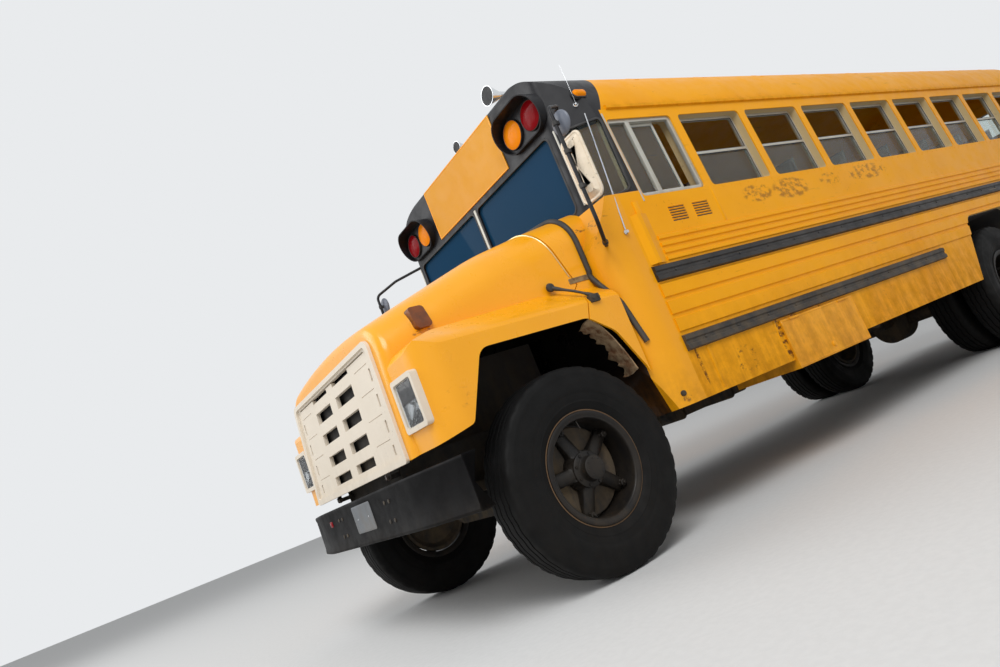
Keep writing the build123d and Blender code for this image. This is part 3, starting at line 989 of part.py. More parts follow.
# Steps: (tread z, outer y, inner y)
STEP_OUT_Y = -HALF + SKIRT_T + SEAT_GAP
STEPS = [(400.0, STEP_OUT_Y, -HALF + 195.0), (600.0, -HALF + 195.0, -HALF + 385.0),
         (800.0, -HALF + 385.0, STEP_IN_Y)]
for tread, outer, inner in STEPS:
    floor = floor + box(STEP_X0, STEP_X1, outer, inner, tread - 6.0, tread)
    floor = floor + box(STEP_X0, STEP_X1, inner - 3.0, inner + 3.0, tread - 6.0, tread + 200.0 - 1.0)
for x0, x1 in ((STEP_X0 - 6.0, STEP_X0), (STEP_X1, STEP_X1 + 6.0)):
    floor = floor + box(x0, x1, STEP_OUT_Y, STEP_IN_Y, 394.0, FLOOR_LOW_Z - SEAT_GAP)
    floor = floor + box(x0, x1, -FLOOR_HALF, STEP_IN_Y, FLOOR_LOW_Z - 20.0, FLOOR_LOW_Z + 10.0)
SILL_X = [AXLE_X - 1100.0 - 700.0 * n for n in range(9)]
for x in SILL_X:
    if abs(x - REAR_AXLE_X) > 600.0 and not STEP_X0 < x < STEP_X1:
        reach = FLOOR_HALF
    else:
        reach = HOUSING_IN_Y - 15.0
    floor = floor + box(x - 25.0, x + 25.0, -reach, reach, RAIL_TOP_Z + SEAT_GAP, FLOOR_LOW_Z + 1.0)
save("floor", floor)

# Entrance door: two equal leaves
LEAF_LOW_Z = 420.0
LEAF_TOP_Z = DOOR_TOP_Z - 6.0
LEAF_T = 28.0
LEAF_OUT_Y = -HALF + 10.0
LEAF_IN_Y = LEAF_OUT_Y + LEAF_T
DOOR_HINGE_X = DOOR_FRONT_X - 8.0
LEAF_PITCH = (DOOR_HINGE_X - DOOR_REAR_X - 8.0) / 2.0
LEAF_PIN_R = 2.5
LEAF_BARREL_R = 4.5
FOLD_X = DOOR_HINGE_X - LEAF_PITCH - 0.5
FOLD_Y = LEAF_IN_Y + LEAF_BARREL_R
LEAF_HINGE_Z = [600.0, 1400.0, 2200.0]


def leaf(front):
    """Door leaf with an upper and a lower pane, its front edge at the given x."""
    rear = front - LEAF_PITCH + MOVE_GAP
    panel = box(rear, front, LEAF_OUT_Y, LEAF_IN_Y, LEAF_LOW_Z, LEAF_TOP_Z)
    glass = []
    for low, high in ((520.0, 1150.0), (1240.0, 2290.0)):
        rows = [(rear + 40.0, low, 25.0), (front - 40.0, low, 25.0),
                (front - 40.0, high, 25.0), (rear + 40.0, high, 25.0)]
        panel = panel - prism_y(rows, LEAF_OUT_Y - 10.0, LEAF_IN_Y + 10.0)
        rows = [(rear + 40.3, low + 0.3, 24.7), (front - 40.3, low + 0.3, 24.7),
                (front - 40.3, high - 0.3, 24.7), (rear + 40.3, high - 0.3, 24.7)]
        glass.append(prism_y(rows, LEAF_OUT_Y + 10.0, LEAF_OUT_Y + 15.0))
    return panel, glass


front_leaf, front_leaf_glass = leaf(DOOR_HINGE_X - 3.0)
rear_leaf, rear_leaf_glass = leaf(DOOR_HINGE_X - LEAF_PITCH - 3.0)
for z in LEAF_HINGE_Z:
    low, high = z - BARREL_L, z + BARREL_L
    hinge_pins.append(rod_z(DOOR_HINGE_X, LEAF_OUT_Y, LEAF_BARREL_R, z + 0.5, high)
                      + rod_z(DOOR_HINGE_X, LEAF_OUT_Y, LEAF_PIN_R, low, high)
                      + box(DOOR_HINGE_X, DOOR_FRONT_X - SEAT_GAP, LEAF_OUT_Y - 2.0, LEAF_OUT_Y + 2.0,
                            z + 0.5, high))
    barrel = rod_z(DOOR_HINGE_X, LEAF_OUT_Y, LEAF_BARREL_R, low, z)
    front_leaf = front_leaf - rod_z(DOOR_HINGE_X, LEAF_OUT_Y, LEAF_BARREL_R + 0.5, z, high + 0.5)
    front_leaf = front_leaf + (barrel - rod_z(DOOR_HINGE_X, LEAF_OUT_Y, LEAF_PIN_R + 0.3, low - 1.0, z + 1.0))
    front_leaf = front_leaf + rod_z(FOLD_X, FOLD_Y, LEAF_PIN_R, low, high)
    front_leaf = front_leaf + rod_z(FOLD_X, FOLD_Y, LEAF_BARREL_R, z + 0.5, high)
    front_leaf = front_leaf + box(FOLD_X, FOLD_X + 20.0, LEAF_IN_Y - 1.0, LEAF_IN_Y + 3.0, z + 0.5, high)
    barrel = rod_z(FOLD_X, FOLD_Y, LEAF_BARREL_R, low, z)
    barrel = barrel + box(FOLD_X - 20.0, FOLD_X, LEAF_IN_Y - 1.0, LEAF_IN_Y + 3.0, low, z)
    rear_leaf = rear_leaf + (barrel - rod_z(FOLD_X, FOLD_Y, LEAF_PIN_R + 0.3, low - 1.0, z + 1.0))
save("hinge_pins", hinge_pins)
save("side_wall_right", WALL_RIGHT)
save("door_front_leaf", front_leaf)
save("door_front_glass", front_leaf_glass)
save("door_rear_leaf", rear_leaf)
save("door_rear_glass", rear_leaf_glass)

# Fuel tank behind the entrance, battery box behind its door in the left skirt
TANK_X = (AXLE_X - 3150.0, AXLE_X - 2050.0)
TANK_Z = (480.0, 860.0)
tank = prism_y([(TANK_X[0], TANK_Z[0], 60.0), (TANK_X[1], TANK_Z[0], 60.0), (TANK_X[1], TANK_Z[1], 60.0),
                (TANK_X[0], TANK_Z[1], 60.0)], -HALF + 115.0, -RAIL_OUT_Y - SEAT_GAP)
save("fuel_tank", tank)
BATTERY_X = (AXLE_X - 2500.0, AXLE_X - 1660.0)
BATTERY_IN_Y = HALF - 495.0
BATTERY_LOW_Z = 560.0
battery = box(*BATTERY_X, BATTERY_IN_Y, HALF - SKIRT_T - SEAT_GAP, BATTERY_LOW_Z, RAIL_TOP_Z)
cover = box(*BATTERY_X, HALF + SEAT_GAP, HALF + 12.0, BATTERY_LOW_Z, 876.0)
lower_link = box(*BATTERY_X, HALF - SKIRT_T - 5.0, HALF + 5.0, BATTERY_LOW_Z, SKIRT_Z - SEAT_GAP)
arm = box(AXLE_X - 2200.0, AXLE_X - 1960.0, RAIL_OUT_Y + SEAT_GAP, BATTERY_IN_Y + 5.0, 700.0, 780.0)
save("battery_box", battery + cover + lower_link + arm)

# Exhaust: silencer between the left rail and the skirt, its lead and its tailpipe over the axle
SILENCER_Y = RAIL_OUT_Y + 188.0
SILENCER_Z = 760.0
silencer_x = (AXLE_X - 3750.0, AXLE_X - 2800.0)
silencer = rod_x(SILENCER_Y, SILENCER_Z, 105.0, *silencer_x)
strap = box(AXLE_X - 3300.0, AXLE_X - 3260.0, RAIL_OUT_Y + SEAT_GAP, SILENCER_Y, 740.0, 780.0)
lead = pipe([(silencer_x[1] - 10.0, SILENCER_Y, SILENCER_Z), (silencer_x[1] + 180.0, SILENCER_Y, SILENCER_Z),
             (silencer_x[1] + 240.0, SILENCER_Y - 60.0, SILENCER_Z - 60.0)], 32.0, [60.0])
TAIL_Y = RAIL_IN_Y - 112.0
TAIL_X0 = silencer_x[0] - SEAT_GAP
TAIL_END_X = BODY_REAR_X - 60.0
TAIL_POINTS = [(TAIL_X0, SILENCER_Y, SILENCER_Z), (TAIL_X0 - 120.0, SILENCER_Y, SILENCER_Z),
               (TAIL_X0 - 300.0, RAIL_OUT_Y - 20.0, 590.0), (TAIL_X0 - 520.0, TAIL_Y, 600.0),
               (TAIL_X0 - 760.0, TAIL_Y, 730.0), (REAR_AXLE_X - 560.0, TAIL_Y, 730.0),
               (REAR_AXLE_X - 1000.0, TAIL_Y, 500.0), (TAIL_END_X, TAIL_Y, 500.0)]
tail = pipe(TAIL_POINTS, 30.0, [80.0, 90.0, 80.0, 120.0, 160.0, 160.0])
for x, low in ((REAR_AXLE_X + 760.0, 750.0), (RAIL_REAR_X + 60.0, 525.0)):
    tail = tail + box(x - 20.0, x + 20.0, TAIL_Y - 6.0, TAIL_Y + 6.0, low, CROSS_LOW_Z - SEAT_GAP)
save("exhaust", [silencer + strap + lead, tail])

# Passenger seats: (row front x), a bench each side of the aisle
ROW_PITCH = BAY_PITCH - 2.6
ROW_X = [AXLE_X - 2330.0 - ROW_PITCH * n for n in range(7)]
BENCH_IN_Y = 160.0
BENCH_OUT_Y = HALF - WALL_T - REVEAL_T - 10.0
BENCH_Z = 1330.0
cushions = {1: [], -1: []}
seat_frames = []
for x in ROW_X:
    for side in (1, -1):
        base = box(x - 400.0, x, side * BENCH_IN_Y, side * BENCH_OUT_Y, BENCH_Z, BENCH_Z + 110.0)
        back = prism_y([(x - 400.0 - SEAT_GAP, BENCH_Z + 20.0, 0), (x - 490.0, BENCH_Z + 20.0, 20.0),
                        (x - 540.0, 2000.0, 30.0), (x - 460.0, 2000.0, 30.0)],
                       side * BENCH_OUT_Y, side * BENCH_IN_Y)
        cushions[side].extend([base, back])
        seat_frames.append(box(x - 440.0, x - 30.0, side * BENCH_IN_Y, side * (HALF - WALL_T - SEAT_GAP),
                               BENCH_Z - 26.0, BENCH_Z - SEAT_GAP))
        for leg_x in (x - 70.0, x - 380.0):
            seat_frames.append(box(leg_x, leg_x + 26.0, side * (BENCH_IN_Y + 40.0),
                                   side * (BENCH_IN_Y + 66.0), FLOOR_Z + SEAT_GAP,
                                   BENCH_Z - 26.0 - SEAT_GAP))
save("seat_cushions_left", cushions[1])
save("seat_cushions_right", cushions[-1])
save("seat_frames", seat_frames)

# Driver's place
seat_x = AXLE_X - 1400.0
DRIVER_Y = HALF - 575.0
seat_base = box(seat_x - 415.0, seat_x, DRIVER_Y - 240.0, DRIVER_Y + 240.0, 1360.0, 1460.0)
seat_back = prism_y([(seat_x - 415.0 - SEAT_GAP, 1400.0, 0), (seat_x - 515.0, 1400.0, 20.0),
                     (seat_x - 570.0, 2040.0, 30.0), (seat_x - 480.0, 2040.0, 30.0)],
                    DRIVER_Y - 220.0, DRIVER_Y + 220.0)
pedestal = box(seat_x - 330.0, seat_x - 120.0, DRIVER_Y - 100.0, DRIVER_Y + 100.0, FLOOR_Z + SEAT_GAP,
               1360.0 - SEAT_GAP)
save("driver_seat", [seat_base, seat_back, pedestal])
dash = prism_y([(COWL_X - COWL_T - SEAT_GAP, 1400.0, 0), (AXLE_X - 760.0, 1450.0, 20.0),
                (AXLE_X - 800.0, 1700.0, 40.0), (AXLE_X - 700.0, 1760.0, 40.0),
                (COWL_X - COWL_T - SEAT_GAP, 1570.0, 0)], -HALF + 235.0, HALF - 235.0)
column_end = Vector(AXLE_X - 1060.0, DRIVER_Y, 1724.0)
column_dir = (column_end - Vector(AXLE_X - 730.0, DRIVER_Y, 1480.0)).normalized()
column_start = column_end - column_dir * 380.0
column = Plane(origin=column_start, z_dir=column_dir) * Pos(0, 0, 190.0) * Cylinder(28.0, 380.0)
save("dashboard", dash + column)
RIM_RADIUS = 215.0
RIM_TUBE = 16.0
flat = RIM_TUBE * tan(radians(22.5))
octagon = [(RIM_TUBE, -flat), (RIM_TUBE, flat), (flat, RIM_TUBE), (-flat, RIM_TUBE),
           (-RIM_TUBE, flat), (-RIM_TUBE, -flat), (-flat, -RIM_TUBE), (flat, -RIM_TUBE)]
rim_face = Plane.XZ * outline([(RIM_RADIUS + u, v, 0) for u, v in octagon])
steering = revolve(rim_face, axis=Axis.Z) + Cylinder(50.0, 40.0)
for n in range(3):
    steering = steering + Rot(0, 0, 120.0 * n + 90.0) * (Pos(110.0, 0, 0) * Box(200.0, 30.0, 12.0))
hub = column_end + column_dir * (20.0 + SEAT_GAP)
steering = Plane(origin=hub, x_dir=(0, 1, 0), z_dir=column_dir) * steering
save("steering_wheel", steering)

# Warning lamps on both ends: black visors, red outer and amber inner lenses
# Ends: (end x, outward, z, how far inboard, reach of the visor)
LENS_R = 95.0
HOOD_OUT_R = 125.0
HOOD_WALL = 7.0
HOOD_SHALLOW = 26.0
REAR_LAMP_IN = 38.0
FRONT_REACH = 118.0
REAR_REACH = 80.0
LAMP_ENDS = [(FRONT_X, 1, 2574.0, 0.0, FRONT_REACH),
             (BODY_REAR_X, -1, 2600.0, REAR_LAMP_IN, REAR_REACH)]
visors, reds, ambers = [], [], []


def stadium(side, z, inboard, radius, x0, x1):
    """Slab with round ends about a pair of lamps."""
    y0, y1 = AMBER_Y - inboard, RED_Y - inboard
    slab = box(x0, x1, side * y0, side * y1, z - radius, z + radius)
    return slab + rod_x(side * y0, z, radius, x0, x1) + rod_x(side * y1, z, radius, x0, x1)


for end_x, out, z, inboard, reach in LAMP_ENDS:
    for side in (1, -1):
        plate_x = end_x + out * SEAT_GAP
        group = stadium(side, z, inboard, HOOD_OUT_R, plate_x, end_x + out * (reach + 10.0))
        group = group - stadium(side, z, inboard, HOOD_OUT_R - HOOD_WALL, end_x + out * 12.0,
                                end_x + out * (reach + 20.0))
        group = group - prism_y([(end_x + out * HOOD_SHALLOW, z - 140.0, 0),
                                 (end_x + out * 200.0, z - 140.0, 0), (end_x + out * 200.0, z + 140.0, 0),
                                 (end_x + out * reach, z + 140.0, 0)], -WIDE, WIDE)
        visors.append(group)
        for y, group_of in ((RED_Y - inboard, reds), (AMBER_Y - inboard, ambers)):
            group_of.append(rod_x(side * y, z, LENS_R, end_x + out * 12.3, end_x + out * 45.0))
save("lamp_visors", visors)

# Tail and turn lamps beside the emergency doorway, and the markers on the bonnet's shoulders
TAIL_Z = 1230.0
TAIL_R = 90.0
TAIL_AMBER_Y = EXIT_HALF + TAIL_R + 70.0
TAIL_RED_Y = TAIL_AMBER_Y + 2.0 * TAIL_R + 30.0
for side in (1, -1):
    for y, group_of in ((TAIL_RED_Y, reds), (TAIL_AMBER_Y, ambers)):
        group_of.append(rod_x(side * y, TAIL_Z, TAIL_R, BODY_REAR_X - 25.0, BODY_REAR_X - SEAT_GAP))
save("red_lamps", reds)
save("amber_lamps", ambers)
MARKER_X = (AXLE_X + 452.0, AXLE_X + 542.0)
MARKER_Z = (1462.0, 1588.0)
marker = prism_y([(MARKER_X[0], MARKER_Z[0], 20.0), (MARKER_X[1], MARKER_Z[0], 20.0),
                  (MARKER_X[1], MARKER_Z[1], 20.0), (MARKER_X[0], MARKER_Z[1], 20.0)],
                 HOOD_SIDE_FRONT - 60.0, HOOD_SIDE_FRONT + 66.0)
marker = marker & prism_x([(HOOD_SIDE_FRONT - 80.0, MARKER_Z[0] - 5.0, 0),
                           (HOOD_SIDE_FRONT + 66.0, MARKER_Z[0] - 5.0, 0),
                           (HOOD_SIDE_FRONT + 62.0, MARKER_Z[0] + 25.0, 20.0),
                           (HOOD_SIDE_FRONT + 22.0, MARKER_Z[1] + 5.0, 0),
                           (HOOD_SIDE_FRONT - 80.0, MARKER_Z[1] + 5.0, 0)],
                          MARKER_X[0] - 5.0, MARKER_X[1] + 5.0)
marker = marker - hood_centre(-SEAT_GAP, 560.0)
markers = both(marker)
save("hood_markers", markers)

# Mirrors: looped tubes carrying a tall flat mirror and a round one
MIRROR_Y = HALF + 155.0
LOOP_X = AXLE_X - 412.0
LOOP_R = 11.0
corner45 = COWL_R * (1.0 - 1.0 / sqrt(2.0))
foot = (COWL_X - corner45 + SEAT_GAP, HALF - corner45 + SEAT_GAP)
top_x, top_y = FRONT_X + corner_u[0] * 30.0, CORNER_Y + corner_u[1] * 30.0
loop = pipe([(foot[0], foot[1], 1600.0), (foot[0] + 110.0, foot[1] + 110.0, 1600.0),
             (LOOP_X, MIRROR_Y, 1680.0), (LOOP_X, MIRROR_Y, 2350.0),
             (top_x + corner_n[0] * 270.0, top_y + corner_n[1] * 270.0, 2418.0),
             (top_x + corner_n[0] * SEAT_GAP, top_y + corner_n[1] * SEAT_GAP, 2418.0)],
            LOOP_R, [30.0, 40.0, 50.0, 40.0])
HEAD_Z0 = 1790.0
HEAD_Z1 = 2175.0
HEAD_HALF = 85.0
head = prism_x([(MIRROR_Y - HEAD_HALF, HEAD_Z0, 42.0), (MIRROR_Y + HEAD_HALF, HEAD_Z0, 42.0),
                (MIRROR_Y + HEAD_HALF, HEAD_Z1, 42.0), (MIRROR_Y - HEAD_HALF, HEAD_Z1, 42.0)],
               LOOP_X - 58.0, LOOP_X - 23.0)
for z in (HEAD_Z0 + 90.0, HEAD_Z1 - 90.0):
    head = head + box(LOOP_X - 24.0, LOOP_X - LOOP_R - SEAT_GAP, MIRROR_Y - 8.0, MIRROR_Y + 8.0,
                      z - 10.0, z + 10.0)
# Round mirror above the tall one
DISC_Z = 2254.0
DISC_R = 70.0
disc = rod_x(MIRROR_Y, DISC_Z, DISC_R, LOOP_X - 52.0, LOOP_X - 26.0)
disc = disc + box(LOOP_X - 27.0, LOOP_X - LOOP_R - SEAT_GAP, MIRROR_Y - 8.0, MIRROR_Y + 8.0,
                  DISC_Z - 10.0, DISC_Z + 10.0)
save("mirror_arms", both(loop))
save("mirror_heads", both(head) + both(disc))

# Roof horns
horns = []
for y, size in ((400.0, 1.0), (-270.0, 0.7)):
    bell = [(0.0, 0.0), (0.0, 20.0), (200.0, 28.0), (300.0, 70.0), (304.0, 70.0), (304.0, 0.0)]
    cone = revolve_y([(along * size, radius * size, 0) for along, radius in bell], 0, 0, 0)
    cone = Pos(AXLE_X - 1180.0, y, 3070.0) * (Rot(0, 0, -90) * cone)
    roof_z = CROWN_Z + sqrt(CROWN_R ** 2 - (abs(y) - 20.0) ** 2)
    foot = box(AXLE_X - 1130.0, AXLE_X - 1090.0, y - 20.0, y + 20.0, roof_z + SEAT_GAP, 3065.0)
    horns.append(cone + foot)
save("roof_horns", horns)
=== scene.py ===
import math
import bmesh
import bpy
import numpy as np
from bpy.props import FloatProperty, FloatVectorProperty, IntProperty, PointerProperty
from mathutils import Matrix, Vector
from mathutils.bvhtree import BVHTree


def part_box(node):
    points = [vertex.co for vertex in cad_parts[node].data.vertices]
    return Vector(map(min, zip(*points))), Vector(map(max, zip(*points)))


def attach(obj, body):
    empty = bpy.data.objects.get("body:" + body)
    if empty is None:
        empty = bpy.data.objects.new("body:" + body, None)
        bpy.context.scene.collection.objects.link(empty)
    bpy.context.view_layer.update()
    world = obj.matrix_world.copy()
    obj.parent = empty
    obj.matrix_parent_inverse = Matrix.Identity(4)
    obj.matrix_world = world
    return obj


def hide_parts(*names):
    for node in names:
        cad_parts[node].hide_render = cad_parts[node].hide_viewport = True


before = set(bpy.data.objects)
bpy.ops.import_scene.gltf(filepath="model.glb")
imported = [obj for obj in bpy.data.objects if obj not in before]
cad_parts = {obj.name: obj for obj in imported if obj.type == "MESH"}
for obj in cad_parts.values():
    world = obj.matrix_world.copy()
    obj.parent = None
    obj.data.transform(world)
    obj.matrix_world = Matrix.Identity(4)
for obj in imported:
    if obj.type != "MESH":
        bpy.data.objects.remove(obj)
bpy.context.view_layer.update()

bl_info = {
    "name": "School bus finish",
    "version": (1, 0, 0),
    "blender": (4, 5, 0),
    "location": "3D View > Sidebar > School Bus",
    "description": "Paint, glass, rubber and trim for a bonneted school bus",
    "category": "Object",
}


def middle_x(node):
    """Middle of a CAD node along the bus."""
    low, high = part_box(node)
    return (low.x + high.x) / 2


AXLE_X, REAR_AXLE_X = middle_x("front_tyre_left"), middle_x("rear_tyres_left")
AXLE_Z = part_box("front_tyre_left")[1].z / 2
REAR_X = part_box("rear_wall")[0].x
REAR_FACE = REAR_X - AXLE_X
HALF = 1.195
FORE, SIDEWAYS, UPWARD = (1, 0, 0), (0, 1, 0), (0, 0, 1)
FRONT, REAR, LEFT = (SIDEWAYS, UPWARD), ((0, -1, 0), UPWARD), ((-1, 0, 0), UPWARD)


def rgb(red, green, blue):
    """Linear colour from 0 to 255 screen values."""
    c = np.array((red, green, blue)) / 255
    return tuple(float(v) for v in np.where(c <= 0.04045, c / 12.92, ((c + 0.055) / 1.055) ** 2.4))


def paint(name, description, *screen):
    """A colour that the user may change, from 0 to 255 screen values."""
    return FloatVectorProperty(name=name, description=description, default=rgb(*screen),
                               subtype="COLOR", size=3, min=0.0, max=1.0)


def length(name, description, default, low, high):
    """A length that the user may change."""
    return FloatProperty(name=name, description=description, default=default, min=low, max=high,
                         unit="LENGTH")


class BusPaint(bpy.types.PropertyGroup):
    """Colours of the bus."""
    body: paint("Body", "Yellow of the coach body", 246, 168, 14)
    faded: paint("Faded body", "Yellow where the sun and dust have dulled it", 228, 146, 6)
    trim: paint("Trim", "Black of rails, caps and bumpers", 17, 17, 21)
    chassis: paint("Chassis", "Black under the body", 22, 21, 20)
    grille: paint("Grille", "Grey of the grille", 226, 214, 196)
    rubber: paint("Tyres", "Rubber of the tyres", 8, 8, 8)
    wheel: paint("Wheels", "Black of the cast wheels", 13, 12, 13)
    seats: paint("Seats", "Vinyl of the benches", 74, 56, 42)
    lining: paint("Lining", "Cream of the inside walls and window reveals", 196, 172, 128)
    panes: paint("Panes", "Tint of the window glass", 222, 230, 228)
    # The windscreen colour is painted reflection: a dark blue shown by glass that lets little through and
    # mirrors little.
    screen: paint("Windscreen", "Tint of the windscreen", 24, 64, 96)


class BusSizes(bpy.types.PropertyGroup):
    """Sizes of the added pieces."""
    groove: length("Tread groove", "Depth of the tyre's grooves", 0.011, 0.002, 0.02)
    waves: IntProperty(name="Tread waves", description="Zigzags of the tread round the tyre", default=36,
                       min=12, max=60)
    gasket: length("Gasket", "Radius of the rubber round the panes", 0.008, 0.003, 0.02)
    rivet: length("Rivet", "Radius of a body rivet", 0.0055, 0.002, 0.01)
    hose: length("Cowl seal", "Radius of the rubber seal behind the bonnet", 0.017, 0.008, 0.03)
    whip: length("Aerial", "Length of the whip aerial", 0.26, 0.1, 0.5)


class BusStage(bpy.types.PropertyGroup):
    """Camera and studio."""
    camera_at: FloatVectorProperty(name="Camera", description="Place of the camera", size=3,
                                   default=(5.63727, 3.89050, 0.73974), subtype="TRANSLATION", unit="LENGTH")
    lens: FloatProperty(name="Lens", description="Focal length on a 36 mm frame", default=25.4533,
                        subtype="DISTANCE_CAMERA", unit="CAMERA")
    backdrop: paint("Backdrop", "Colour of the pale backdrop", 233, 235, 237)
    floor: paint("Floor", "Colour of the floor", 214, 214, 213)


# Surface tools: a shape is its points, its four-sided faces and its three-sided faces, as whole arrays


def unit(vector):
    """Vector of length one."""
    vector = np.asarray(vector, float)
    return vector / np.linalg.norm(vector, axis=-1, keepdims=True)


def grid_shape(grid, wrap=True, ends=(True, True), ring=False):
    """Skin over a grid of points, rows by places round the row: each cell is a face. With wrap the last
    place joins the first, with ring the last row joins the first, and an end row is closed by a fan."""
    rows, around = grid.shape[:2]
    index = np.arange(rows * around).reshape(rows, around)
    if wrap:
        index = np.concatenate([index, index[:, :1]], axis=1)
    if ring:
        index = np.concatenate([index, index[:1]], axis=0)
    quads = np.stack([index[:-1, :-1], index[:-1, 1:], index[1:, 1:], index[1:, :-1]], axis=-1).reshape(-1, 4)
    points, fans = grid.reshape(-1, 3), [np.zeros((0, 3), int)]
    for closed, row, order in ((ends[0], 0, (1, 0)), (ends[1], -1, (0, 1))):
        if closed and not ring:
            pair = np.stack([index[row, :-1], index[row, 1:]], axis=-1)[:, order]
            fans.append(np.concatenate([pair, np.full((len(pair), 1), len(points))], axis=1))
            points = np.concatenate([points, grid[row].mean(axis=0)[None]])
    return points, quads, np.concatenate(fans)


def sheet(grid):
    """Open skin over a grid of points."""
    return grid_shape(grid, wrap=False, ends=(False, False))


def join(shapes):
    """Several shapes as one."""
    points, quads, triangles = zip(*shapes)
    starts = np.cumsum([0] + [len(p) for p in points[:-1]])
    return (np.concatenate(points), np.concatenate([q + s for q, s in zip(quads, starts)]),
            np.concatenate([t + s for t, s in zip(triangles, starts)]))


def many(shape, sets):
    """One shape's faces over several sets of points, sets by points by three."""
    _, q, t = shape
    step = (np.arange(len(sets)) * sets.shape[1])[:, None, None]
    return sets.reshape(-1, 3), (q[None] + step).reshape(-1, 4), (t[None] + step).reshape(-1, 3)


def turned(shape, at, axis, degrees):
    """Copies of a shape, each turned by one angle about an axis through a point."""
    angle = np.radians(np.atleast_1d(degrees))[:, None, None]
    k = unit(axis)
    cross = np.array([[0, -k[2], k[1]], [k[2], 0, -k[0]], [-k[1], k[0], 0]])
    spin = np.eye(3) + np.sin(angle) * cross + (1 - np.cos(angle)) * (cross @ cross)
    return many(shape, np.einsum("kij,nj->kni", spin, shape[0] - at) + at)


def mirrored(shape):
    """The same shape on the other side of the bus."""
    p, q, t = shape
    return p * (1, -1, 1), q[:, ::-1], t[:, ::-1]


def both(*shapes):
    """Left-hand shapes with their right-hand twins."""
    shape = join(shapes)
    return join([shape, mirrored(shape)])


def same(shape):
    """The shape as it is."""
    return shape


SIDES = (("left", same), ("right", mirrored))


def ngon(count, radius):
    """Outline of a regular polygon or circle: (r cos a, r sin a)."""
    a = np.arange(count) / count * 2 * np.pi
    return np.stack([np.cos(a), np.sin(a)], axis=-1) * radius


def oval(wide, high):
    """Outline of an oval with eight sides."""
    return ngon(8, 1.0) * (wide, high)


def rounded(width, height, radius, steps=4):
    """Outline of a rectangle about nought whose corners are quarter circles."""
    turn = np.linspace(0, np.pi / 2, steps + 1)
    corners = np.array([(1, 1), (-1, 1), (-1, -1), (1, -1)], float)
    middles = corners * (width / 2 - radius, height / 2 - radius)
    a = np.arange(4)[:, None] * np.pi / 2 + turn[None]
    return (middles[:, None] + np.stack([np.cos(a), np.sin(a)], axis=-1) * radius).reshape(-1, 2)


def plate(outline, rows, at, across, up):
    """Outline lifted off its plane: row (grow, lift) is the outline grown by grow along its own normal
    and raised by lift along across x up."""
    step = np.roll(outline, -1, axis=0) - np.roll(outline, 1, axis=0)
    out = unit(np.stack([step[:, 1], -step[:, 0]], axis=-1))
    rows = np.asarray(rows, float)
    across, up = unit(across), unit(up)
    flat = outline[None] + out[None] * rows[:, :1, None]
    points = flat[..., :1] * across + flat[..., 1:] * up + rows[:, 1, None, None] * np.cross(across, up)
    return grid_shape(points + np.asarray(at, float))


def block(low, high, ease=0.003):
    """Box with eased edges: a rounded outline whose first and last rows are drawn in."""
    low, high = np.asarray(low, float), np.asarray(high, float)
    size, middle = high - low, (low + high) / 2
    tall = size[2]
    rows = [(-ease, 0), (-0.3 * ease, 0.3 * ease), (0, ease), (0, tall - ease),
            (-0.3 * ease, tall - 0.3 * ease), (-ease, tall)]
    return plate(rounded(size[0], size[1], ease * 1.3, 2), rows, (middle[0], middle[1], low[2]),
                 FORE, SIDEWAYS)


def lathe(rows, at, axis, turns=32, ring=False, ends=(True, True)):
    """Outline of (distance along, radius) rows turned about an axis."""
    rows = np.asarray(rows, float)
    w = unit(axis)
    u = unit(np.cross(w, UPWARD if abs(w[2]) < 0.9 else FORE))
    spoke = ngon(turns, 1.0) @ np.stack([u, np.cross(w, u)])
    points = rows[:, 0, None, None] * w + rows[:, 1, None, None] * spoke[None] + np.asarray(at, float)
    return grid_shape(points, ring=ring, ends=ends)


def band(half, inner, outer, at, axis, turns):
    """Plain ring about an axis: half its length, and its two radii."""
    return lathe([(-half, inner), (-half, outer), (half, outer), (half, inner)], at, axis, turns, ring=True)


def carried(path, profile, upward=UPWARD, scale=1.0, ring=False):
    """Profile of (side, lift) points carried along a path, square to it: side is along x upward."""
    path, profile = np.asarray(path, float), np.asarray(profile, float)
    along = np.roll(path, -1, 0) - np.roll(path, 1, 0) if ring else np.gradient(path, axis=0)
    side = unit(np.cross(along, upward))
    lift = unit(np.cross(side, along))
    size = np.broadcast_to(scale, len(path))[:, None, None]
    across = profile[None, :, :1] * side[:, None] + profile[None, :, 1:] * lift[:, None]
    return grid_shape(path[:, None] + size * across, ring=ring)


def tube(path, radius, sides=10, upward=UPWARD):
    """Round bar along a path; the radius may change along it."""
    return carried(path, ngon(sides, 1.0), upward, radius)


def bend(corners, reach, steps=7):
    """Path through straight runs; each corner is a parabola that leaves and joins its runs at the reach."""
    c = np.asarray(corners, float)
    a, b, d = c[:-2], c[1:-1], c[2:]
    first, last = np.linalg.norm(a - b, axis=1), np.linalg.norm(d - b, axis=1)
    r = np.minimum(reach, 0.49 * np.minimum(first, last))[:, None]
    p, q = b + unit(a - b) * r, b + unit(d - b) * r
    t = np.linspace(0, 1, steps)[None, :, None]
    arcs = (1 - t) ** 2 * p[:, None] + 2 * t * (1 - t) * b[:, None] + t ** 2 * q[:, None]
    return np.concatenate([c[:1], arcs.reshape(-1, 3), c[-1:]])


def eased(points, count):
    """Curve through points: a cubic between each pair whose slope at a point is that of its neighbours."""
    p = np.asarray(points, float)
    slope = np.gradient(p, axis=0)
    s = np.linspace(0, len(p) - 1, count)
    i = np.minimum(s.astype(int), len(p) - 2)
    t = (s - i)[:, None]
    return ((2 * t ** 3 - 3 * t ** 2 + 1) * p[i] + (t ** 3 - 2 * t ** 2 + t) * slope[i]
            + (3 * t ** 2 - 2 * t ** 3) * p[i + 1] + (t ** 3 - t ** 2) * slope[i + 1])


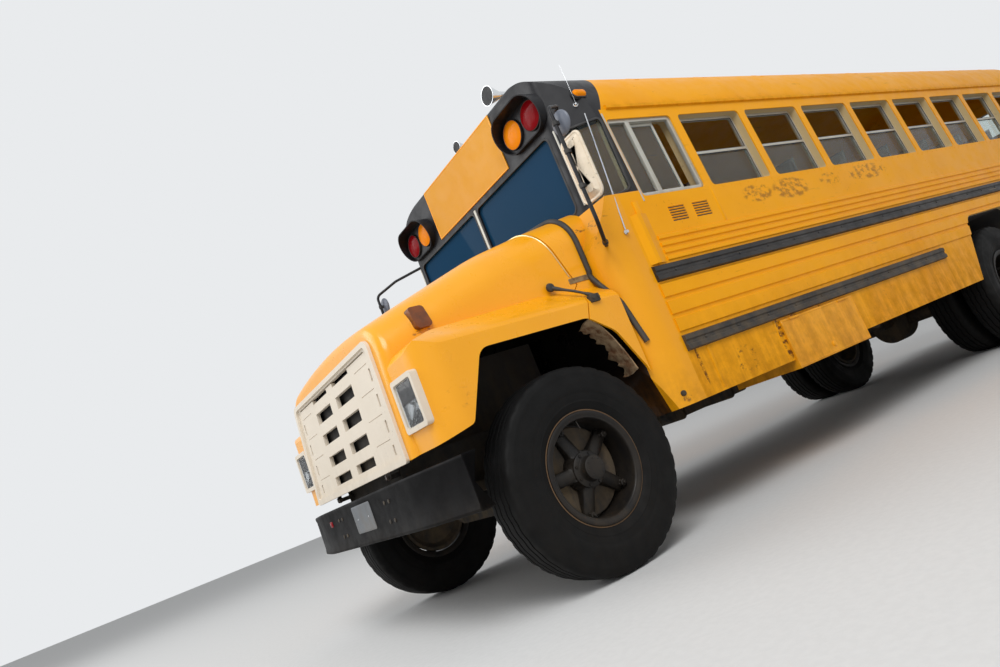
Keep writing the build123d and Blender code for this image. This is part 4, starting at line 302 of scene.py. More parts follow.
def skin_of(*nodes):
    """Search tree over the skins of some CAD nodes."""
    points, faces, start = [], [], 0
    for name in nodes:
        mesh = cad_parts[name].data
        points += [v.co.copy() for v in mesh.vertices]
        faces += [[i + start for i in face.vertices] for face in mesh.polygons]
        start = len(points)
    return BVHTree.FromPolygons(points, faces)


def touch(tree, starts, direction):
    """Where rays from some starts first meet a skin, and its outward normals there."""
    places, normals = [], []
    for start in np.asarray(starts, float):
        place, normal, _, _ = tree.ray_cast(Vector(start), Vector(direction))
        if place is None:
            raise RuntimeError(f"nothing to rest on from {tuple(start)}")
        places.append(place)
        normals.append(normal if normal.dot(Vector(direction)) < 0 else -normal)
    return np.array(places), np.array(normals)


def facing(normal):
    """Sideways and upward directions on a slanting face."""
    across = unit(np.cross(UPWARD, normal))
    return across, np.cross(normal, across)


def studs(places, normals, rows, sides=6):
    """Small turned heads, (lift, radius) rows, each standing on its place along its normal."""
    places, n = np.asarray(places, float), unit(normals)
    u = unit(np.cross(n, np.where(np.abs(n[:, 2:]) < 0.9, UPWARD, FORE)))
    v = np.cross(n, u)
    head = lathe(rows, (0, 0, 0), UPWARD, sides, ends=(False, True))
    x, y, z = (head[0][None, :, i, None] for i in range(3))
    return many(head, places[:, None] + x * u[:, None] + y * v[:, None] + z * n[:, None])


def bolt(radius, lift):
    """Rows of a bolt head: straight sides and an eased top."""
    return [(0.0, radius), (lift * 0.75, radius), (lift, radius * 0.8), (lift, radius * 0.3)]


def spot(x, y, z):
    """Place from metres ahead of the front axle."""
    return np.array([AXLE_X + x, y, z])


def add(name, mesh, finish, body, wall=0.0):
    """New object at the origin in a finish, riding on a body, with a wall if it is an open sheet."""
    mesh.materials.append(MATERIALS[finish])
    obj = bpy.data.objects.new(name, mesh)
    bpy.context.scene.collection.objects.link(obj)
    if wall:
        obj.modifiers.new("wall", "SOLIDIFY").thickness = wall
    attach(obj, body)
    return obj


def piece(name, finish, *shapes, body="bus", hides=(), crease=38.0, wall=0.0):
    """New object from shapes, its faces outward. It hides the CAD nodes that it stands for."""
    points, quads, triangles = join(shapes)
    mesh = bpy.data.meshes.new(name)
    mesh.from_pydata(points.tolist(), [], quads.tolist() + triangles.tolist())
    work = bmesh.new()
    work.from_mesh(mesh)
    bmesh.ops.recalc_face_normals(work, faces=work.faces)
    work.to_mesh(mesh)
    work.free()
    mesh.polygons.foreach_set("use_smooth", np.ones(len(mesh.polygons), bool))
    mesh.set_sharp_from_angle(angle=math.radians(crease))
    obj = add(name, mesh, finish, body, wall)
    if hides:
        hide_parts(*hides)
    return obj


# Shader tools


VALUE, COLOUR, VECTOR = "NodeSocketFloat", "NodeSocketColor", "NodeSocketVector"


class Net:
    """Short calls on a shader node tree. An item is a socket or a plain value."""

    def __init__(self, tree):
        self.tree = tree

    def feed(self, socket, item):
        """Links or sets one input."""
        if isinstance(item, bpy.types.NodeSocket):
            self.tree.links.new(item, socket)
        else:
            socket.default_value = (*item, 1.0) if socket.type == "RGBA" and len(item) == 3 else item

    def node(self, kind, settings=(), **items):
        """New node with its settings, and its inputs fed by name."""
        made = self.tree.nodes.new("ShaderNode" + kind)
        for key, item in settings:
            setattr(made, key, item)
        for key, item in items.items():
            self.feed(made.inputs[key.replace("_", " ")], item)
        return made

    def math(self, operation, first, second=None, clamp=False):
        """One operation on one or two items."""
        made = self.node("Math", [("operation", operation), ("use_clamp", clamp)])
        for socket, item in zip(made.inputs, (first, second)):
            if item is not None:
                self.feed(socket, item)
        return made.outputs[0]

    def times(self, first, second, clamp=False):
        """First times second."""
        return self.math("MULTIPLY", first, second, clamp)

    def plus(self, first, second, clamp=False):
        """First plus second."""
        return self.math("ADD", first, second, clamp)

    def place(self, scale=(1, 1, 1), location=(0, 0, 0)):
        """Object coordinates, centred and scaled."""
        made = self.node("TexCoord")
        return self.node("Mapping", Scale=scale, Location=location, Vector=made.outputs["Object"]).outputs[0]

    def along(self, axis):
        """One Object coordinate."""
        return self.node("SeparateXYZ", Vector=self.place()).outputs[axis]

    def noise(self, scale, detail=4.0, rough=0.6, stretch=(1, 1, 1)):
        """Noise on Object coordinates, stretched along each axis."""
        return self.node("TexNoise", Detail=detail, Roughness=rough, Scale=scale,
                         Vector=self.place(stretch)).outputs["Fac"]

    def ramp(self, value, low, high, out_low=0.0, out_high=1.0):
        """Smooth step of a value between two marks."""
        return self.node("MapRange", [("interpolation_type", "SMOOTHSTEP")], Value=value, From_Min=low,
                         From_Max=high, To_Min=out_low, To_Max=out_high).outputs["Result"]

    def mixed(self, factor, first, second):
        """Mix of two colours."""
        return self.node("Mix", [("data_type", "RGBA")], Factor=factor, A=first, B=second).outputs["Result"]

    def shared(self, name, **values):
        """One copy of a shared group."""
        made = self.node("Group", [("node_tree", bpy.data.node_groups[name])], **values)
        return made.outputs[0]

    def bump(self, height, strength, distance):
        """Relief from a height."""
        return self.node("Bump", Strength=strength, Distance=distance, Height=height).outputs[0]


def group(name, output, **inputs):
    """Empty shared group with one output; an input is (kind, default). It comes with its inputs' sockets
    in order and a call that takes the result."""
    made = bpy.data.node_groups.new(name, "ShaderNodeTree")
    for label, (kind, default) in inputs.items():
        socket = made.interface.new_socket(name=label.replace("_", " "), in_out="INPUT", socket_type=kind)
        if default is not None:
            socket.default_value = default
    made.interface.new_socket(name=output[0], in_out="OUTPUT", socket_type=output[1])
    start, end, g = made.nodes.new("NodeGroupInput"), made.nodes.new("NodeGroupOutput"), Net(made)
    return g, start.outputs, lambda item: g.feed(end.inputs[0], item)


def build_mottle():
    """Uneven colour: broad noise shifts between a colour and its worn shade."""
    g, (colour, shade, scale, amount, _), result = group(
        "mottle", ("Colour", COLOUR), Colour=(COLOUR, None), Shade=(COLOUR, None), Scale=(VALUE, 2.0),
        Amount=(VALUE, 0.3))
    result(g.mixed(g.times(g.ramp(g.noise(scale, 5.0), 0.38, 0.72), amount, True), colour, shade))


def build_road_film():
    """Dirt from the road: thick low down, broken by noise and runs, gone higher up. With the yellow finishes'
    ochre it is also painted shade, darker towards the bottom.
    """
    g, (low, high, strength, _), result = group("road_film", ("Mask", VALUE), Full_Below=(VALUE, 0.5),
                                                None_Above=(VALUE, 1.4), Strength=(VALUE, 0.6))
    runs = g.noise(1.6, 5.0, stretch=(9.0, 9.0, 0.8))
    broken = g.plus(g.times(runs, 0.7), g.times(g.noise(14.0, 6.0, 0.7), 0.6))
    film = g.times(g.ramp(broken, 0.42, 0.86), g.ramp(g.along("Z"), low, high, 1.0, 0.0))
    result(g.times(film, strength, True))


def build_scratches():
    """Fine scratches: thin bands of stretched noise, kept only in patches."""
    g, (scale, strength, _), result = group("scratches", ("Mask", VALUE), Scale=(VALUE, 6.0),
                                            Strength=(VALUE, 0.5))
    fine = g.noise(scale, 3.0, 0.5, (0.6, 8.0, 9.0))
    line = g.times(g.ramp(fine, 0.62, 0.66), g.ramp(g.noise(1.7, 3.0), 0.55, 0.7))
    result(g.times(line, strength, True))


def build_chips():
    """Small chips and rust specks: the dark cells of a fine noise inside the bright ones of a broad one."""
    g, (scale, amount, _), result = group("chips", ("Mask", VALUE), Scale=(VALUE, 60.0), Amount=(VALUE, 0.5))
    spots = g.times(g.ramp(g.noise(scale, 2.0, 0.5), 0.66, 0.7), g.ramp(g.noise(2.6, 4.0, 0.7), 0.5, 0.66))
    result(g.times(spots, amount, True))


def build_skin():
    """Relief of painted sheet: a soft waviness with a fine orange peel."""
    g, (fine, wave, _), result = group("skin", ("Height", VALUE), Fine_Scale=(VALUE, 220.0),
                                       Wave=(VALUE, 0.4))
    result(g.plus(g.times(g.noise(fine, 3.0, 0.5), 0.05), g.times(g.noise(3.5, 2.0, 0.4), wave)))


def build_patch():
    """Worn patch: inside a reach of nought, or only near the reach when hollow, broken by noise."""
    g, (place, hollow, grain, cut, _), result = group(
        "patch", ("Mask", VALUE), Place=(VECTOR, None), Hollow=(VALUE, 0.0), Grain=(VALUE, 18.0),
        Cut=(VALUE, 0.5))
    size = g.node("VectorMath", [("operation", "LENGTH")], Vector=place).outputs["Value"]
    middle = g.times(g.ramp(size, 0.35, 0.6, 1.0, 0.0), hollow)
    area = g.math("SUBTRACT", g.ramp(size, 0.75, 1.0, 1.0, 0.0), middle, True)
    grains = g.noise(grain, 5.0, 0.65, (1, 1, 1.6))
    result(g.times(area, g.ramp(grains, cut, g.plus(cut, 0.2))))


GROUPS = (build_mottle, build_road_film, build_scratches, build_chips, build_skin, build_patch)
MATERIALS = {}
DUST, UNDERCOAT, RUST = (122, 104, 78), (58, 38, 22), (96, 48, 20)
# The (146, 88, 12) orange that the road film lays low on the yellow paint is dust and painted shade.
# The (15, 11, 8) near black is painted shade on the inner faces of the bonnet and cowls.
OCHRE_DUST_AND_SHADE, SHADE_BLACK = (146, 88, 12), (15, 11, 8)
# Above this height the side walls lean in by this much for each metre
LEAN_FROM, LEAN = 1.83, math.tan(math.radians(2.8))


def linear(item):
    """Linear colour of a paint by its name, or of screen values."""
    return tuple(getattr(bpy.context.scene.bus_paint, item)) if isinstance(item, str) else rgb(*item)


def new_material(name):
    """Empty Principled material, kept by its name."""
    made = MATERIALS[name] = bpy.data.materials.new(name)
    made.use_nodes = True
    return Net(made.node_tree), made.node_tree.nodes["Principled BSDF"]


def finish_shader(net, shader, values):
    """Feeds the Principled shader's inputs by name."""
    for key, item in values.items():
        net.feed(shader.inputs[key], item)


def painted(name, colour, shade, rough=0.3, metallic=0.0, coat=0.0, film=(0.55, 1.5, 0.55), scratch=0.4,
            chips=0.4, wave=0.4, relief=0.15, mottle=0.3, scale=2.0, under=UNDERCOAT, patches=(), inside=(),
            dust=DUST, shine=0.5):
    """Painted or plain finish: mottled colour, scratches and chips to the primer, worn patches, road film
    and soft relief. inside lists other colours for what lies nearer the middle than a given |y|: the cream
    lining, and near-black painted shade."""
    net, shader = new_material(name)
    now = net.shared("mottle", Colour=linear(colour), Shade=linear(shade), Scale=scale, Amount=mottle)
    # Inside colours: the cream lining on the side walls, and near-black painted shade within the bonnet and
    # cowls.
    for lining, limit, low, high in inside:
        above = net.math("MAXIMUM", net.math("SUBTRACT", net.along("Z"), LEAN_FROM), 0.0)
        across = net.plus(net.math("ABSOLUTE", net.along("Y")), net.times(above, LEAN))
        z = net.along("Z")
        level = net.times(net.math("GREATER_THAN", z, low), net.math("LESS_THAN", z, high))
        now = net.mixed(net.times(net.math("LESS_THAN", across, limit), level), now, linear(lining))
    now = net.mixed(net.shared("scratches", Scale=6.0, Strength=scratch), now, linear(under))
    now = net.mixed(net.shared("chips", Scale=60.0, Amount=chips), now, linear(RUST))
    for centre, reach, hollow, grain, cut, stain in patches:
        size = [1 / r for r in reach]
        place = net.place(size, [-c * s for c, s in zip(spot(*centre), size)])
        worn = net.shared("patch", Hollow=hollow, Grain=grain, Cut=cut, Place=place)
        now = net.mixed(worn, now, linear(stain))
    # On yellow paint the film's ochre is dust and painted shade, darker towards the bottom.
    dirt = net.shared("road_film", Full_Below=film[0], None_Above=film[1], Strength=film[2])
    uneven = net.ramp(net.noise(9.0), 0.3, 0.75, rough, min(1.0, rough + 0.18))
    finish_shader(net, shader, {
        "Base Color": net.mixed(dirt, now, linear(dust)),
        "Roughness": net.plus(uneven, net.times(dirt, 0.5), True),
        "Metallic": metallic, "Specular IOR Level": shine, "Coat Weight": coat, "Coat Roughness": 0.12,
        "Normal": net.bump(net.shared("skin", Wave=wave), relief, 0.02)})


def glass(name, colour, rough, transmission, film, ior):
    """Toughened glass or lamp plastic with a haze of dust."""
    net, shader = new_material(name)
    dirt = net.shared("road_film", Full_Below=0.6, None_Above=3.4, Strength=film)
    finish_shader(net, shader, {
        "Base Color": net.mixed(dirt, linear(colour), linear(DUST)), "Transmission Weight": transmission,
        "Roughness": net.plus(net.times(dirt, 0.5), rough), "IOR": ior})


def woven_vinyl(name, colour, shade):
    """Bench vinyl: a leather grain of cells, paler where it is rubbed."""
    net, shader = new_material(name)
    cells = net.node("TexVoronoi", Scale=260.0, Vector=net.place()).outputs["Distance"]
    finish_shader(net, shader, {
        "Base Color": net.shared("mottle", Colour=linear(colour), Shade=linear(shade), Scale=5.0, Amount=0.6),
        "Roughness": net.ramp(net.noise(7.0), 0.3, 0.7, 0.38, 0.6), "Normal": net.bump(cells, 0.35, 0.003)})


# Worn places: centre ahead of the front axle, reach, hollow, grain, cut and stain
BELT_STAINS = [((x, HALF, z), (long, 0.3, tall), 0.0, 16.0, cut, (178, 116, 20)) for x, z, long, tall, cut in
               ((-2.05, 1.725, 0.18, 0.07, 0.42), (-2.44, 1.72, 0.24, 0.085, 0.41),
                (-2.95, 1.73, 0.144, 0.06, 0.46), (-3.5, 1.74, 0.336, 0.07, 0.44))]
SIDE_MARKS = BELT_STAINS + [
    ((-1.25, HALF, 0.735), (0.11, 0.3, 0.095), 1.0, 26.0, 0.5, (70, 42, 20)),
    ((-1.64, HALF, 0.76), (0.035, 0.3, 0.16), 0.0, 20.0, 0.42, (88, 46, 20)),
    ((-0.87, HALF, 0.80), (0.014, 0.3, 0.13), 0.0, 24.0, 0.4, (92, 50, 18)),
    ((-1.95, HALF, 0.86), (0.25, 0.3, 0.05), 0.0, 22.0, 0.52, (110, 66, 20))]
COWL_MARKS = [((-0.60, 1.03, 1.71), (0.085, 0.14, 0.125), 1.0, 30.0, 0.5, (84, 50, 22)),
              ((-0.66, 1.10, 1.74), (0.06, 0.10, 0.08), 0.8, 26.0, 0.54, (120, 72, 24)),
              ((-0.68, 1.17, 0.655), (0.03, 0.2, 0.03), 0.0, 22.0, 0.46, (70, 44, 24)),
              ((-0.60, -1.03, 1.71), (0.1, 0.14, 0.11), 0.8, 30.0, 0.54, (84, 50, 22))]
HOOD_MARKS = [((0.60, 1.13, 1.05), (0.10, 0.2, 0.06), 0.0, 18.0, 0.56, (196, 122, 10)),
              ((0.50, 0.86, 1.445), (0.07, 0.12, 0.02), 0.0, 30.0, 0.46, (120, 68, 20))]

# The yellow finishes take the ochre film: dust and painted shade low on the body.
YELLOW = dict(colour="body", shade="faded", dust=OCHRE_DUST_AND_SHADE)
BONNET = dict(YELLOW, rough=0.25, coat=0.25, mottle=0.2, chips=0.03, scratch=0.05, film=(0.6, 1.0, 0.4),
              shine=0.4)
CLEAN = dict(scratch=0.0, chips=0.0)


def look(colour, shade, rough, **values):
    """Values of a finish."""
    return dict(values, colour=colour, shade=shade, rough=rough)


# Painted finishes, by the record's slot names and by the names of the added pieces' finishes
PAINTED = {
    "body_yellow": dict(YELLOW, coat=0.1, scratch=0.25, shine=0.3),
    # The sign's yellow is the body yellow made darker and duller, as painted shade on a panel that faces the
    # lights.
    "sign_yellow": look((220, 156, 46), (206, 140, 34), 0.4, scratch=0.1, chips=0.1, shine=0.2, dust=OCHRE_DUST_AND_SHADE),
    "wall_yellow": dict(YELLOW, rough=0.32, mottle=0.45, scale=1.3, chips=0.3, scratch=0.25, shine=0.15,
                        film=(0.56, 1.25, 0.6), patches=SIDE_MARKS, inside=[("lining", 1.186, 1.0, 2.44)]),
    # The near-black inside colours below are painted shade on the inner faces of the cowls and bonnet.
    "cowl_yellow": dict(YELLOW, rough=0.28, coat=0.15, chips=0.1, scratch=0.15, shine=0.3,
                        film=(0.5, 1.0, 0.5), patches=COWL_MARKS, inside=[(SHADE_BLACK, 1.09, 0.2, 1.3)]),
    "hood_yellow": dict(BONNET, patches=HOOD_MARKS, inside=[(SHADE_BLACK, 0.83, 0.2, 0.868)]),
    "truck_yellow": dict(BONNET, inside=[(SHADE_BLACK, 1.112, 0.2, 1.3), (SHADE_BLACK, 0.93, 1.2, 1.62)]),
    "roof_yellow": dict(YELLOW, rough=0.36, film=(2.4, 2.52, 0.4), shine=0.15),
    "bumper_black": look((6, 5, 6), (13, 12, 12), 0.5, film=(0.3, 0.7, 0.12), chips=0.05, scratch=0.1,
                         shine=0.1),
    # Near-black finish as painted shade, laid inside the bonnet.
    "undercoat": look(SHADE_BLACK, (26, 18, 12), 0.9, chips=0.2, film=(0.3, 0.9, 0.1), shine=0.1),
    "trim_black": look("trim", (38, 38, 42), 0.4, shine=0.35, film=(0.4, 1.6, 0.2), under=(80, 78, 72),
                       chips=0.1),
    "rail_black": look("trim", (58, 54, 50), 0.42, scratch=0.8, chips=0.5, mottle=0.6, scale=4.0,
                       under=(132, 112, 78), film=(0.8, 1.5, 0.4)),
    "chassis_black": look("chassis", (50, 42, 34), 0.62, chips=0.8, film=(0.3, 1.2, 0.55)),
    "cast_wheel": look("wheel", (28, 25, 23), 0.42, chips=0.3, mottle=0.6, scale=5.0, film=(0.0, 1.2, 0.12),
                       under=(60, 50, 40), shine=0.3),
    "bead_rust": look((96, 70, 44), (48, 38, 30), 0.6, film=(0.0, 1.2, 0.3), scale=8.0),
    "grille_silver": look("grille", (206, 194, 174), 0.36, chips=0.2, under=(140, 132, 120),
                          film=(0.8, 1.2, 0.15)),
    "window_alloy": look((196, 194, 184), (150, 146, 134), 0.34, metallic=0.45, scratch=0.2, chips=0.1,
                         film=(1.8, 2.4, 0.3)),
    "engine_iron": look((50, 48, 46), (70, 54, 40), 0.7, film=(0.4, 1.6, 0.6)),
    "radiator_core": look((15, 15, 16), (28, 26, 24), 0.7, film=(0.8, 1.5, 0.25)),
    "marker_amber": look((122, 62, 14), (72, 38, 16), 0.35, chips=0.8, scratch=0.5, mottle=0.8, scale=14.0,
                         film=(1.40, 1.52, 0.8), dust=(60, 34, 20)),
    "tyre_rubber": look("rubber", (15, 14, 13), 0.62, film=(0.0, 1.1, 0.12), chips=0.0, scratch=0.1,
                        under=(40, 37, 35), dust=(52, 44, 36), relief=0.3, shine=0.2),
    "seal_rubber": look((30, 30, 31), (66, 64, 62), 0.5, film=(0.6, 2.6, 0.3), chips=0.0, scratch=0.1,
                        under=(80, 78, 74), mottle=0.5, scale=6.0),
    "bright_strip": look((226, 206, 158), (176, 150, 96), 0.22, metallic=0.7, chips=0.4,
                         film=(1.3, 2.4, 0.2)),
    "horn_chrome": look((220, 222, 224), (168, 168, 168), 0.1, metallic=1.0, scratch=0.1, chips=0.1,
                        film=(0.5, 3.2, 0.12)),
    "lamp_bowl": look((224, 226, 226), (190, 192, 192), 0.1, metallic=0.95, film=(0.9, 1.3, 0.1), **CLEAN),
    "mirror_steel": look((242, 228, 206), (214, 198, 172), 0.34, metallic=0.15, chips=0.2, mottle=0.6,
                         scale=6.0, film=(1.7, 2.4, 0.2)),
    "disc_grey": look((104, 110, 122), (84, 88, 98), 0.3, chips=0.1, film=(1.7, 2.4, 0.1)),
    "mirror_face": look((232, 236, 240), (214, 218, 222), 0.02, metallic=1.0, wave=0.02, relief=0.02,
                        film=(1.7, 2.4, 0.1), **CLEAN),
    "blank_plate": look((112, 116, 120), (90, 94, 98), 0.4, chips=0.3, shine=0.3, film=(0.5, 0.9, 0.5)),
    "badge_grey": look((150, 128, 92), (80, 58, 36), 0.35, metallic=0.3, chips=0.5, scale=20.0, mottle=0.8),
    "torn_liner": look((186, 158, 122), (110, 62, 28), 0.85, chips=0.9, scratch=0.8, mottle=1.0, scale=16.0,
                       under=(60, 34, 18), film=(0.9, 1.3, 0.5)),
    "floor_rubber": look((38, 38, 39), (70, 64, 56), 0.7, film=(0.9, 1.1, 0.4)),
    "dash_plastic": look((30, 30, 32), (50, 50, 52), 0.55, film=(0.2, 0.9, 0.2), chips=0.05, scratch=0.1),
    "dial_white": look((220, 218, 206), (196, 192, 178), 0.5, **CLEAN),
}
# Clear finishes: colour, roughness, transmission, film of dust and index of refraction
GLAZED = {"glass_clear": ("panes", 0.01, 0.95, 0.03, 1.12),
          # The windscreen's dark blue is painted reflection; its low index keeps the glass's own reflection
          # weak.
          "screen_glass": ("screen", 0.02, 0.15, 0.02, 1.08),
          "lamp_clear": ((244, 246, 248), 0.0, 0.96, 0.02, 1.35),
          "lamp_red": ((132, 12, 20), 0.12, 0.05, 0.0, 1.15),
          "lamp_amber": ((246, 144, 18), 0.12, 0.05, 0.0, 1.15)}
NODE_FINISH = {"side_wall_left": "wall_yellow", "side_wall_right": "wall_yellow", "roof": "roof_yellow",
               "body_cowl": "cowl_yellow", "truck_cowl": "truck_yellow", "sign_panels": "sign_yellow",
               "hood": "hood_yellow", "rub_rails": "rail_black", "hood_markers": "marker_amber",
               "radiator": "radiator_core"}


# Wheels


def tyre_shape(x, y, lugs, sizes):
    """Tyre: a closed section turned about the axle. The grooves swing sideways as a triangle wave of the
    angle, and the shoulders are notched where the same wave is high."""
    deep = sizes.groove * 1e3
    # Millimetres from the middle and from the axle, then how much each point swings and is notched
    tread = [(0, 520, 1, 0), (18, 520, 1, 0), (20, 520 - deep, 1, 0), (27, 520 - deep, 1, 0),
             (29, 519.6, 1, 0), (57, 518.9, 1, 0), (59, 519 - deep, 1, 0), (66, 519 - deep, 1, 0),
             (68, 518.4, 1, 0), (88, 517, 0.5, 0.4), (101, 514.5, 0, 1), (110, 508, 0, 1), (115, 497, 0, 0.7)]
    wall = [(118.5, 482), (121.5, 474), (120.8, 468), (124.5, 446), (127.2, 420), (127.8, 398), (127.0, 377),
            (125.2, 374), (125.0, 366), (123.6, 352), (120.0, 338), (118.8, 333), (119.8, 329), (116.5, 324),
            (110.5, 310), (105.0, 301), (100.5, 294), (97.5, 289), (96.6, 284), (95.6, 262), (72, 260.5)]
    half = np.array(tread + [(*place, 0, 0) for place in wall])
    offset, radius, swing, notch = np.concatenate([half, (half * (-1, 1, 1, 1))[:0:-1]]).T[:, :, None]
    turns = sizes.waves * 4
    a = np.arange(turns)[None] / turns * 2 * np.pi
    wave = np.abs((a * sizes.waves / (2 * np.pi)) % 1.0 * 4 - 2) - 1
    r = (radius - (12.0 if lugs else 6.0) * notch * (wave > 0.4)) / 1000
    across = (offset + 3.4 * wave * swing) / 1000
    return grid_shape(np.stack([x + r * np.cos(a), y + across + 0 * a, AXLE_Z + r * np.sin(a)], axis=-1),
                      ring=True)


def rim_shape(x, y):
    """Rim: a closed section with a rolled lip each side, turned about the axle."""
    lip = [(96, 256), (97, 270), (98.5, 278), (101, 282.5), (104.5, 282.5), (107, 279), (107.6, 272),
           (105, 262), (101.5, 257), (101, 250), (97, 246), (86, 244.5)]
    rows = np.array(lip + [(-a, b) for a, b in reversed(lip)]) / 1000
    return lathe(rows, (x, y, AXLE_Z), SIDEWAYS, 72, ring=True)


def cast_centre(x, y, face, depth):
    """Cast five-arm centre: rings of r = s R(a), where R is the hub's radius or the arm's straight side,
    whichever is more; the front falls towards the rim and across each arm as the square of its width."""
    arms = 5
    turns = arms * 36
    a = np.arange(turns) / turns * 2 * np.pi
    gap = 2 * np.pi / arms
    d = (a + gap / 2) % gap - gap / 2
    hub, half, reach = 0.098, 0.036, 0.246
    arm = np.minimum(reach / np.cos(d), half / np.maximum(np.abs(np.sin(d)), 1e-3))
    outer = np.minimum((np.maximum(arm, hub) ** 8 + hub ** 8) ** (1 / 8), reach)
    s = np.concatenate([np.linspace(0.2, 0.94, 9), [0.985, 1.0]])[:, None]
    r = s * outer
    w = np.where(r > hub, r * np.sin(d), 0.0)
    fall = 0.036 * np.clip((r - 0.075) / (reach - 0.075), 0, 1)
    edge = np.clip((s - 0.94) / 0.06, 0, 1) ** 2 * 0.012
    front = face - fall - 0.016 * (w / half) ** 2 * (r > hub) - edge
    back = face - depth * (1 - 0.35 * np.clip((r - hub) / (reach - hub), 0, 1)) + edge
    back = np.minimum(back, front - 0.004)
    flat = np.stack([x + r * np.cos(a), y + 0 * r, AXLE_Z + r * np.sin(a)], axis=-1)
    rows = [flat + front[..., None] * SIDEWAYS, flat[::-1] + back[::-1][..., None] * SIDEWAYS]
    return grid_shape(np.concatenate(rows))


def wheel_centre(x, y, face, hub_out):
    """Hub, cap, flange bolts, rim clamps, studs and nuts of a cast centre."""
    def place(out, lift):
        """Place at a distance from the axle's line, and out from the centre's face."""
        return x + out, y + face + lift, AXLE_Z

    def ringed(shape, count, first=0.0):
        """Copies of a shape round the axle."""
        return turned(shape, place(0, 0), SIDEWAYS, np.arange(count) * 360 / count + first)

    hub = lathe([(-0.012, 0.094), (0.004, 0.092), (0.008, 0.086), (0.012, 0.066), (0.02, 0.0605),
                 (hub_out - 0.014, 0.058), (hub_out - 0.006, 0.060), (hub_out - 0.003, 0.056),
                 (hub_out - 0.001, 0.03)], place(0, 0), SIDEWAYS, 40)
    flange = ringed(lathe(bolt(0.0095, 0.012), place(0.079, 0.002), SIDEWAYS, 6), 8, 22.5)
    cap = ringed(lathe(bolt(0.005, 0.0035), place(0.047, hub_out - 0.004), SIDEWAYS, 6), 8)
    wedge = plate(rounded(0.030, 0.056, 0.006, 2),
                  [(-0.002, -0.02), (0, -0.018), (0, 0.016), (-0.005, 0.021)],
                  place(0.236, -0.040), UPWARD, FORE)
    stud = lathe([(-0.02, 0.009), (0.040, 0.009), (0.044, 0.006)], place(0.224, -0.038), SIDEWAYS, 10)
    nut = lathe([(0.0, 0.019), (0.003, 0.0185), (0.018, 0.0185), (0.021, 0.015), (0.021, 0.008)],
                place(0.224, -0.024), SIDEWAYS, 6)
    return join([hub, flange, cap, ringed(join([wedge, stud, nut]), 5)])


def drum_shape(x, y, low, high):
    """Brake drum: a ribbed ring with a web in to the hub, turned about the axle."""
    radius = 0.236
    rows = [(high - 0.012, 0.070), (high - 0.016, radius - 0.052), (low, radius - 0.02), (low, radius),
            (low + 0.008, radius + 0.004), (low + 0.014, radius), (high - 0.014, radius - 0.003),
            (high - 0.006, radius - 0.01), (high, radius - 0.05), (high, 0.070)]
    return lathe(rows, (x, y, AXLE_Z), SIDEWAYS, 48, ring=True)


class SCENE_OT_bus_wheels(bpy.types.Operator):
    """Tyres with grooved treads, cast wheels, drums and hubs"""
    bl_idname = "scene.bus_wheels"
    bl_label = "Wheels"

    def execute(self, context):
        sizes = context.scene.bus_sizes
        front_y, dual_out, dual_in = 0.985, 1.030, 0.720
        front_face, rear_face = 0.040, -0.030
        front = [rim_shape(AXLE_X, front_y), cast_centre(AXLE_X, front_y, front_face, 0.080),
                 wheel_centre(AXLE_X, front_y, front_face, 0.062)]
        bead = lathe([(0.0965, 0.2835), (0.0965, 0.2895), (0.0995, 0.2905), (0.1005, 0.2850)],
                     (AXLE_X, front_y, AXLE_Z), SIDEWAYS, 72, ring=True)
        stem = tube(bend([spot(0.0, 1.068, AXLE_Z + 0.243), spot(0.0, 1.075, AXLE_Z + 0.235),
                          spot(0.0, 1.082, AXLE_Z + 0.20)], 0.01, 5), 0.0035, 8, SIDEWAYS)
        spacer = lathe([(-0.22, 0.228), (-0.22, 0.243), (-0.09, 0.243), (-0.09, 0.228)],
                       (REAR_AXLE_X, dual_out, AXLE_Z), SIDEWAYS, 60, ring=True)
        rear = [rim_shape(REAR_AXLE_X, dual_out), rim_shape(REAR_AXLE_X, dual_in),
                cast_centre(REAR_AXLE_X, dual_out, rear_face, 0.120),
                wheel_centre(REAR_AXLE_X, dual_out, rear_face, 0.090), spacer]
        for side, flip in SIDES:
            for name, finish, shapes, hides in (
                    ("ribbed_tyre_front", "tyre_rubber", [tyre_shape(AXLE_X, front_y, False, sizes)],
                     [f"front_tyre_{side}"]),
                    ("cast_wheel_front", "cast_wheel", front, [f"front_rim_{side}"]),
                    ("brake_drum_front", "engine_iron", [drum_shape(AXLE_X, front_y, -0.085, -0.03)], ()),
                    ("bead_ring_front", "bead_rust", [bead], ()),
                    ("valve_stem_front", "cast_wheel", [stem], ()),
                    ("lugged_tyres_rear", "tyre_rubber",
                     [tyre_shape(REAR_AXLE_X, y, True, sizes) for y in (dual_out, dual_in)],
                     [f"rear_tyres_{side}"]),
                    ("cast_wheels_rear", "cast_wheel", rear, [f"rear_rims_{side}"]),
                    ("brake_drum_rear", "engine_iron", [drum_shape(REAR_AXLE_X, dual_in, -0.11, 0.06)], ())):
                body = f"wheels_rear_{side}" if "rear" in name else f"wheel_front_{side}"
                piece(f"{name}_{side}", finish, *map(flip, shapes), body=body, hides=hides)
        return {"FINISHED"}


# Front end


def bumper_shape():
    """Front bumper: a channel with rolled edges carried along the swept plan line."""
    ends = [(0.716, -1.166), (0.800, -0.760), (0.800, 0.760), (0.716, 1.166)]
    half = [(-0.085, 0.130), (-0.006, 0.130), (0.000, 0.128), (0.004, 0.122), (0.0035, 0.112), (0.000, 0.106)]
    inner = [(-0.006, 0.104), (-0.008, 0.124), (-0.085, 0.124)]
    outline = half + [(x, -z) for x, z in half[::-1]] + [(x, -z) for x, z in inner[::-1]] + inner
    return carried(bend([spot(x, y, 0.68) for x, y in ends], 0.12, 9), outline)


